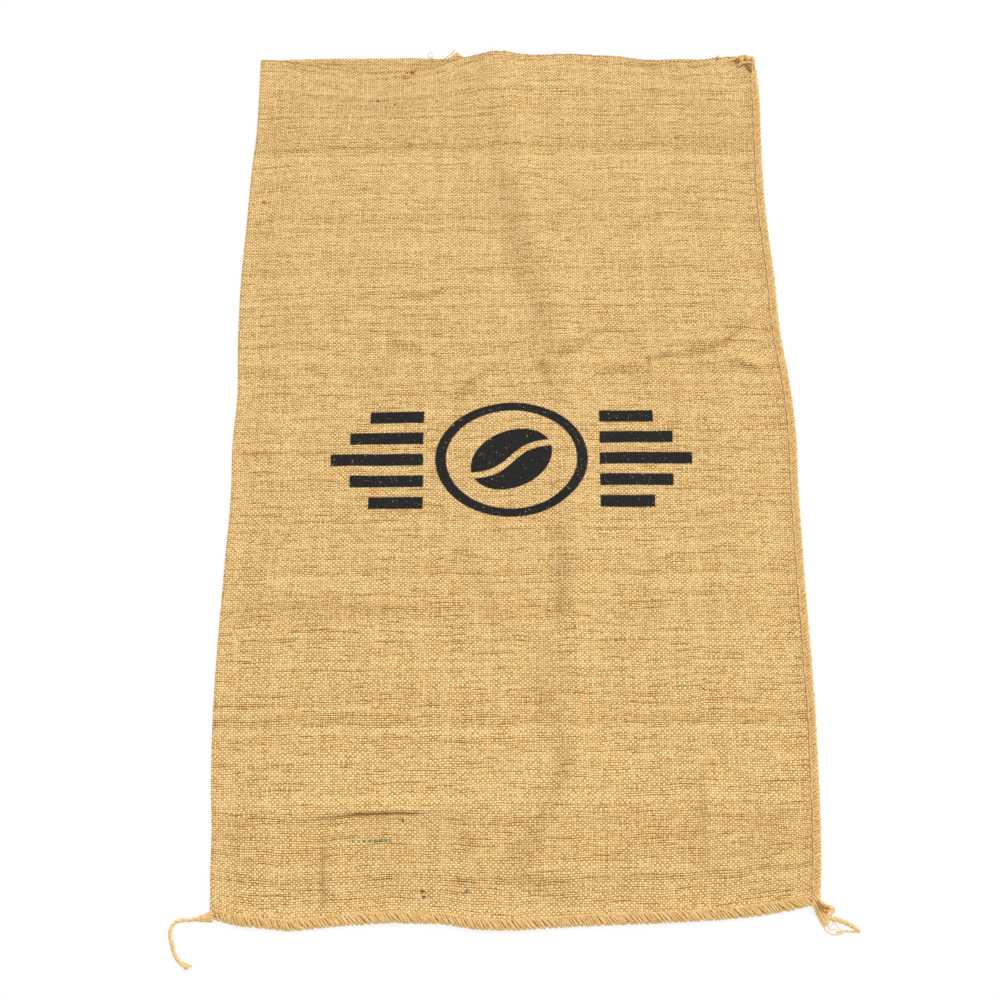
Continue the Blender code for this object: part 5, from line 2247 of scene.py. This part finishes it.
def edge_rows(form: SackForm) -> tuple[np.ndarray, np.ndarray]:
    """The cloth's sewn edges, for the seams.

    Args:
        form: the sack's form.

    Returns:
        Rows of (mark, x, s) of the side, by s, and of the bottom, by x and round the fold.
    """
    s_flat = lines_of(ALONG_SPANS)
    side = np.column_stack([s_flat, *form.place(np.full_like(s_flat, HALF_WIDTH), s_flat, Layer.BACK)])
    x_flat = np.linspace(-HALF_WIDTH, HALF_WIDTH, 160)
    bottom = np.column_stack([x_flat, *form.place(x_flat, np.zeros_like(x_flat), Layer.BACK)])
    depth = CLOTH_THICK / 2 + float(form.fold_radius(np.array(0.0)))
    first = bottom[0] - np.array((depth, depth, 0.0))
    return side, np.vstack([first, bottom])


def settle(piece: Object, slot: str, *nodes: str) -> Object:
    """Make a piece ride on the sack and stand for its solids.

    Args:
        piece: the finished piece.
        slot: the slot of its material; not used.
        nodes: the solids that it stands for.

    Returns:
        The piece.
    """
    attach(piece, "root")
    if nodes:
        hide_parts(*nodes)
    LOG.info("%s: %d faces", piece.name, len(piece.data.polygons))
    return piece


def main() -> None:
    """Build the sack's looks in order."""
    logging.basicConfig(level=logging.INFO, format="%(message)s")
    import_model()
    Studio().build()
    form = SackForm()
    twine = jute_twine(JuteTwine())
    sewing = JuteTwine("sewing_twine", brown="#dcaa64", tan="#f2cb86", pale="#fde6b4", groove_shade=0.05)
    sewing = jute_twine(sewing)
    # A darker copy of the twine, whose strands stand for painted shade in hollows
    shaded = jute_twine(JuteTwine("shaded_twine", brown="#a8763a", tan="#c99452", pale="#deb272"))
    fibre = jute_fibre(JuteFibre())

    left = LooseEnd("tail_left_twine", TAIL_LEFT_ROUTE, twine)
    right = LooseEnd("tail_right_twine", TAIL_RIGHT_ROUTE, twine, width=5.2 * MM)
    left_strands = Bundle("tail_left_strands", LEFT_ROOT_STRANDS + LEFT_TIP_STRANDS, twine)
    right_strands = Bundle(
        "tail_right_strands", RIGHT_ROOT_STRANDS + RIGHT_RETURN_STRANDS + RIGHT_TIP_STRANDS, twine
    )
    for end, strands, node in ((left, left_strands, "tail_left"), (right, right_strands, "tail_right")):
        piece = settle(end.build(), "jute_twine", node)
        beside = settle(strands.build(), "jute_twine")
        end.length()
    settle(Bundle("tail_stub_twine", RIGHT_STUB_STRANDS, twine).build(), "jute_twine", "tail_stub")

    cloth = SackCloth(form, jute_cloth(JuteCloth(), PrintedMark())).build()
    settle(cloth, "jute_cloth", "sack_cloth")
    side_edge, bottom_edge = edge_rows(form)
    side = Overcast(
        "side_seam_overcast",
        start=0.0015,
        end=1.004,
        stitch=11.8 * MM,
        slant=5.6 * MM,
        far_slant=8.0 * MM,
        finish=sewing,
    )
    settle(side.build(side_edge, 5), "jute_twine", "side_seam_twine")
    bottom = Overcast(
        "bottom_seam_overcast",
        start=-0.3112,
        end=0.3115,
        stitch=12.0 * MM,
        slant=6.0 * MM,
        far_slant=6.0 * MM,
        finish=sewing,
        sag=2.6 * MM,
        band=7.6 * MM,
        strands=BOTTOM_STRANDS,
    )
    settle(bottom.build(bottom_edge, 6), "jute_twine", "bottom_seam_twine")
    settle(Bundle("mouth_knot_twine", KNOT_STRANDS, sewing).build(), "jute_twine", "mouth_knot")
    painted_shade = Bundle("painted_shade_in_twine", KNOT_SHADE_STRANDS + RIGHT_SHADE_STRANDS, shaded)
    settle(painted_shade.build(), "jute_twine")
    settle(Bundle("mouth_threads", MOUTH_THREADS, twine).build(), "jute_cloth")
    for fuzz in Fuzz(form, fibre).build(side_edge, bottom_edge):
        settle(fuzz, "jute_cloth")
    caught = (
        ("dark_bits", DARK_BITS, "#583210", "#7a4a1e"),
        ("brown_bits", BROWN_BITS, "#a87430", "#bd8840"),
        ("orange_bits", ORANGE_BITS, "#d08a3a", "#e2a858"),
        ("green_bits", GREEN_BITS, "#3f8573", "#5fa48e"),
        ("faded_green_bits", FADED_GREEN_BITS, "#8ca67c", "#adb98a"),
        ("pale_bits", PALE_BITS, "#fbeccb", "#fff7e2"),
    )
    for name, rows, shade, colour in caught:
        settle(bits_on(form, rows, name, jute_fibre(JuteFibre(name, shade, colour))), "jute_cloth")


if __name__ == "__main__":
    main()
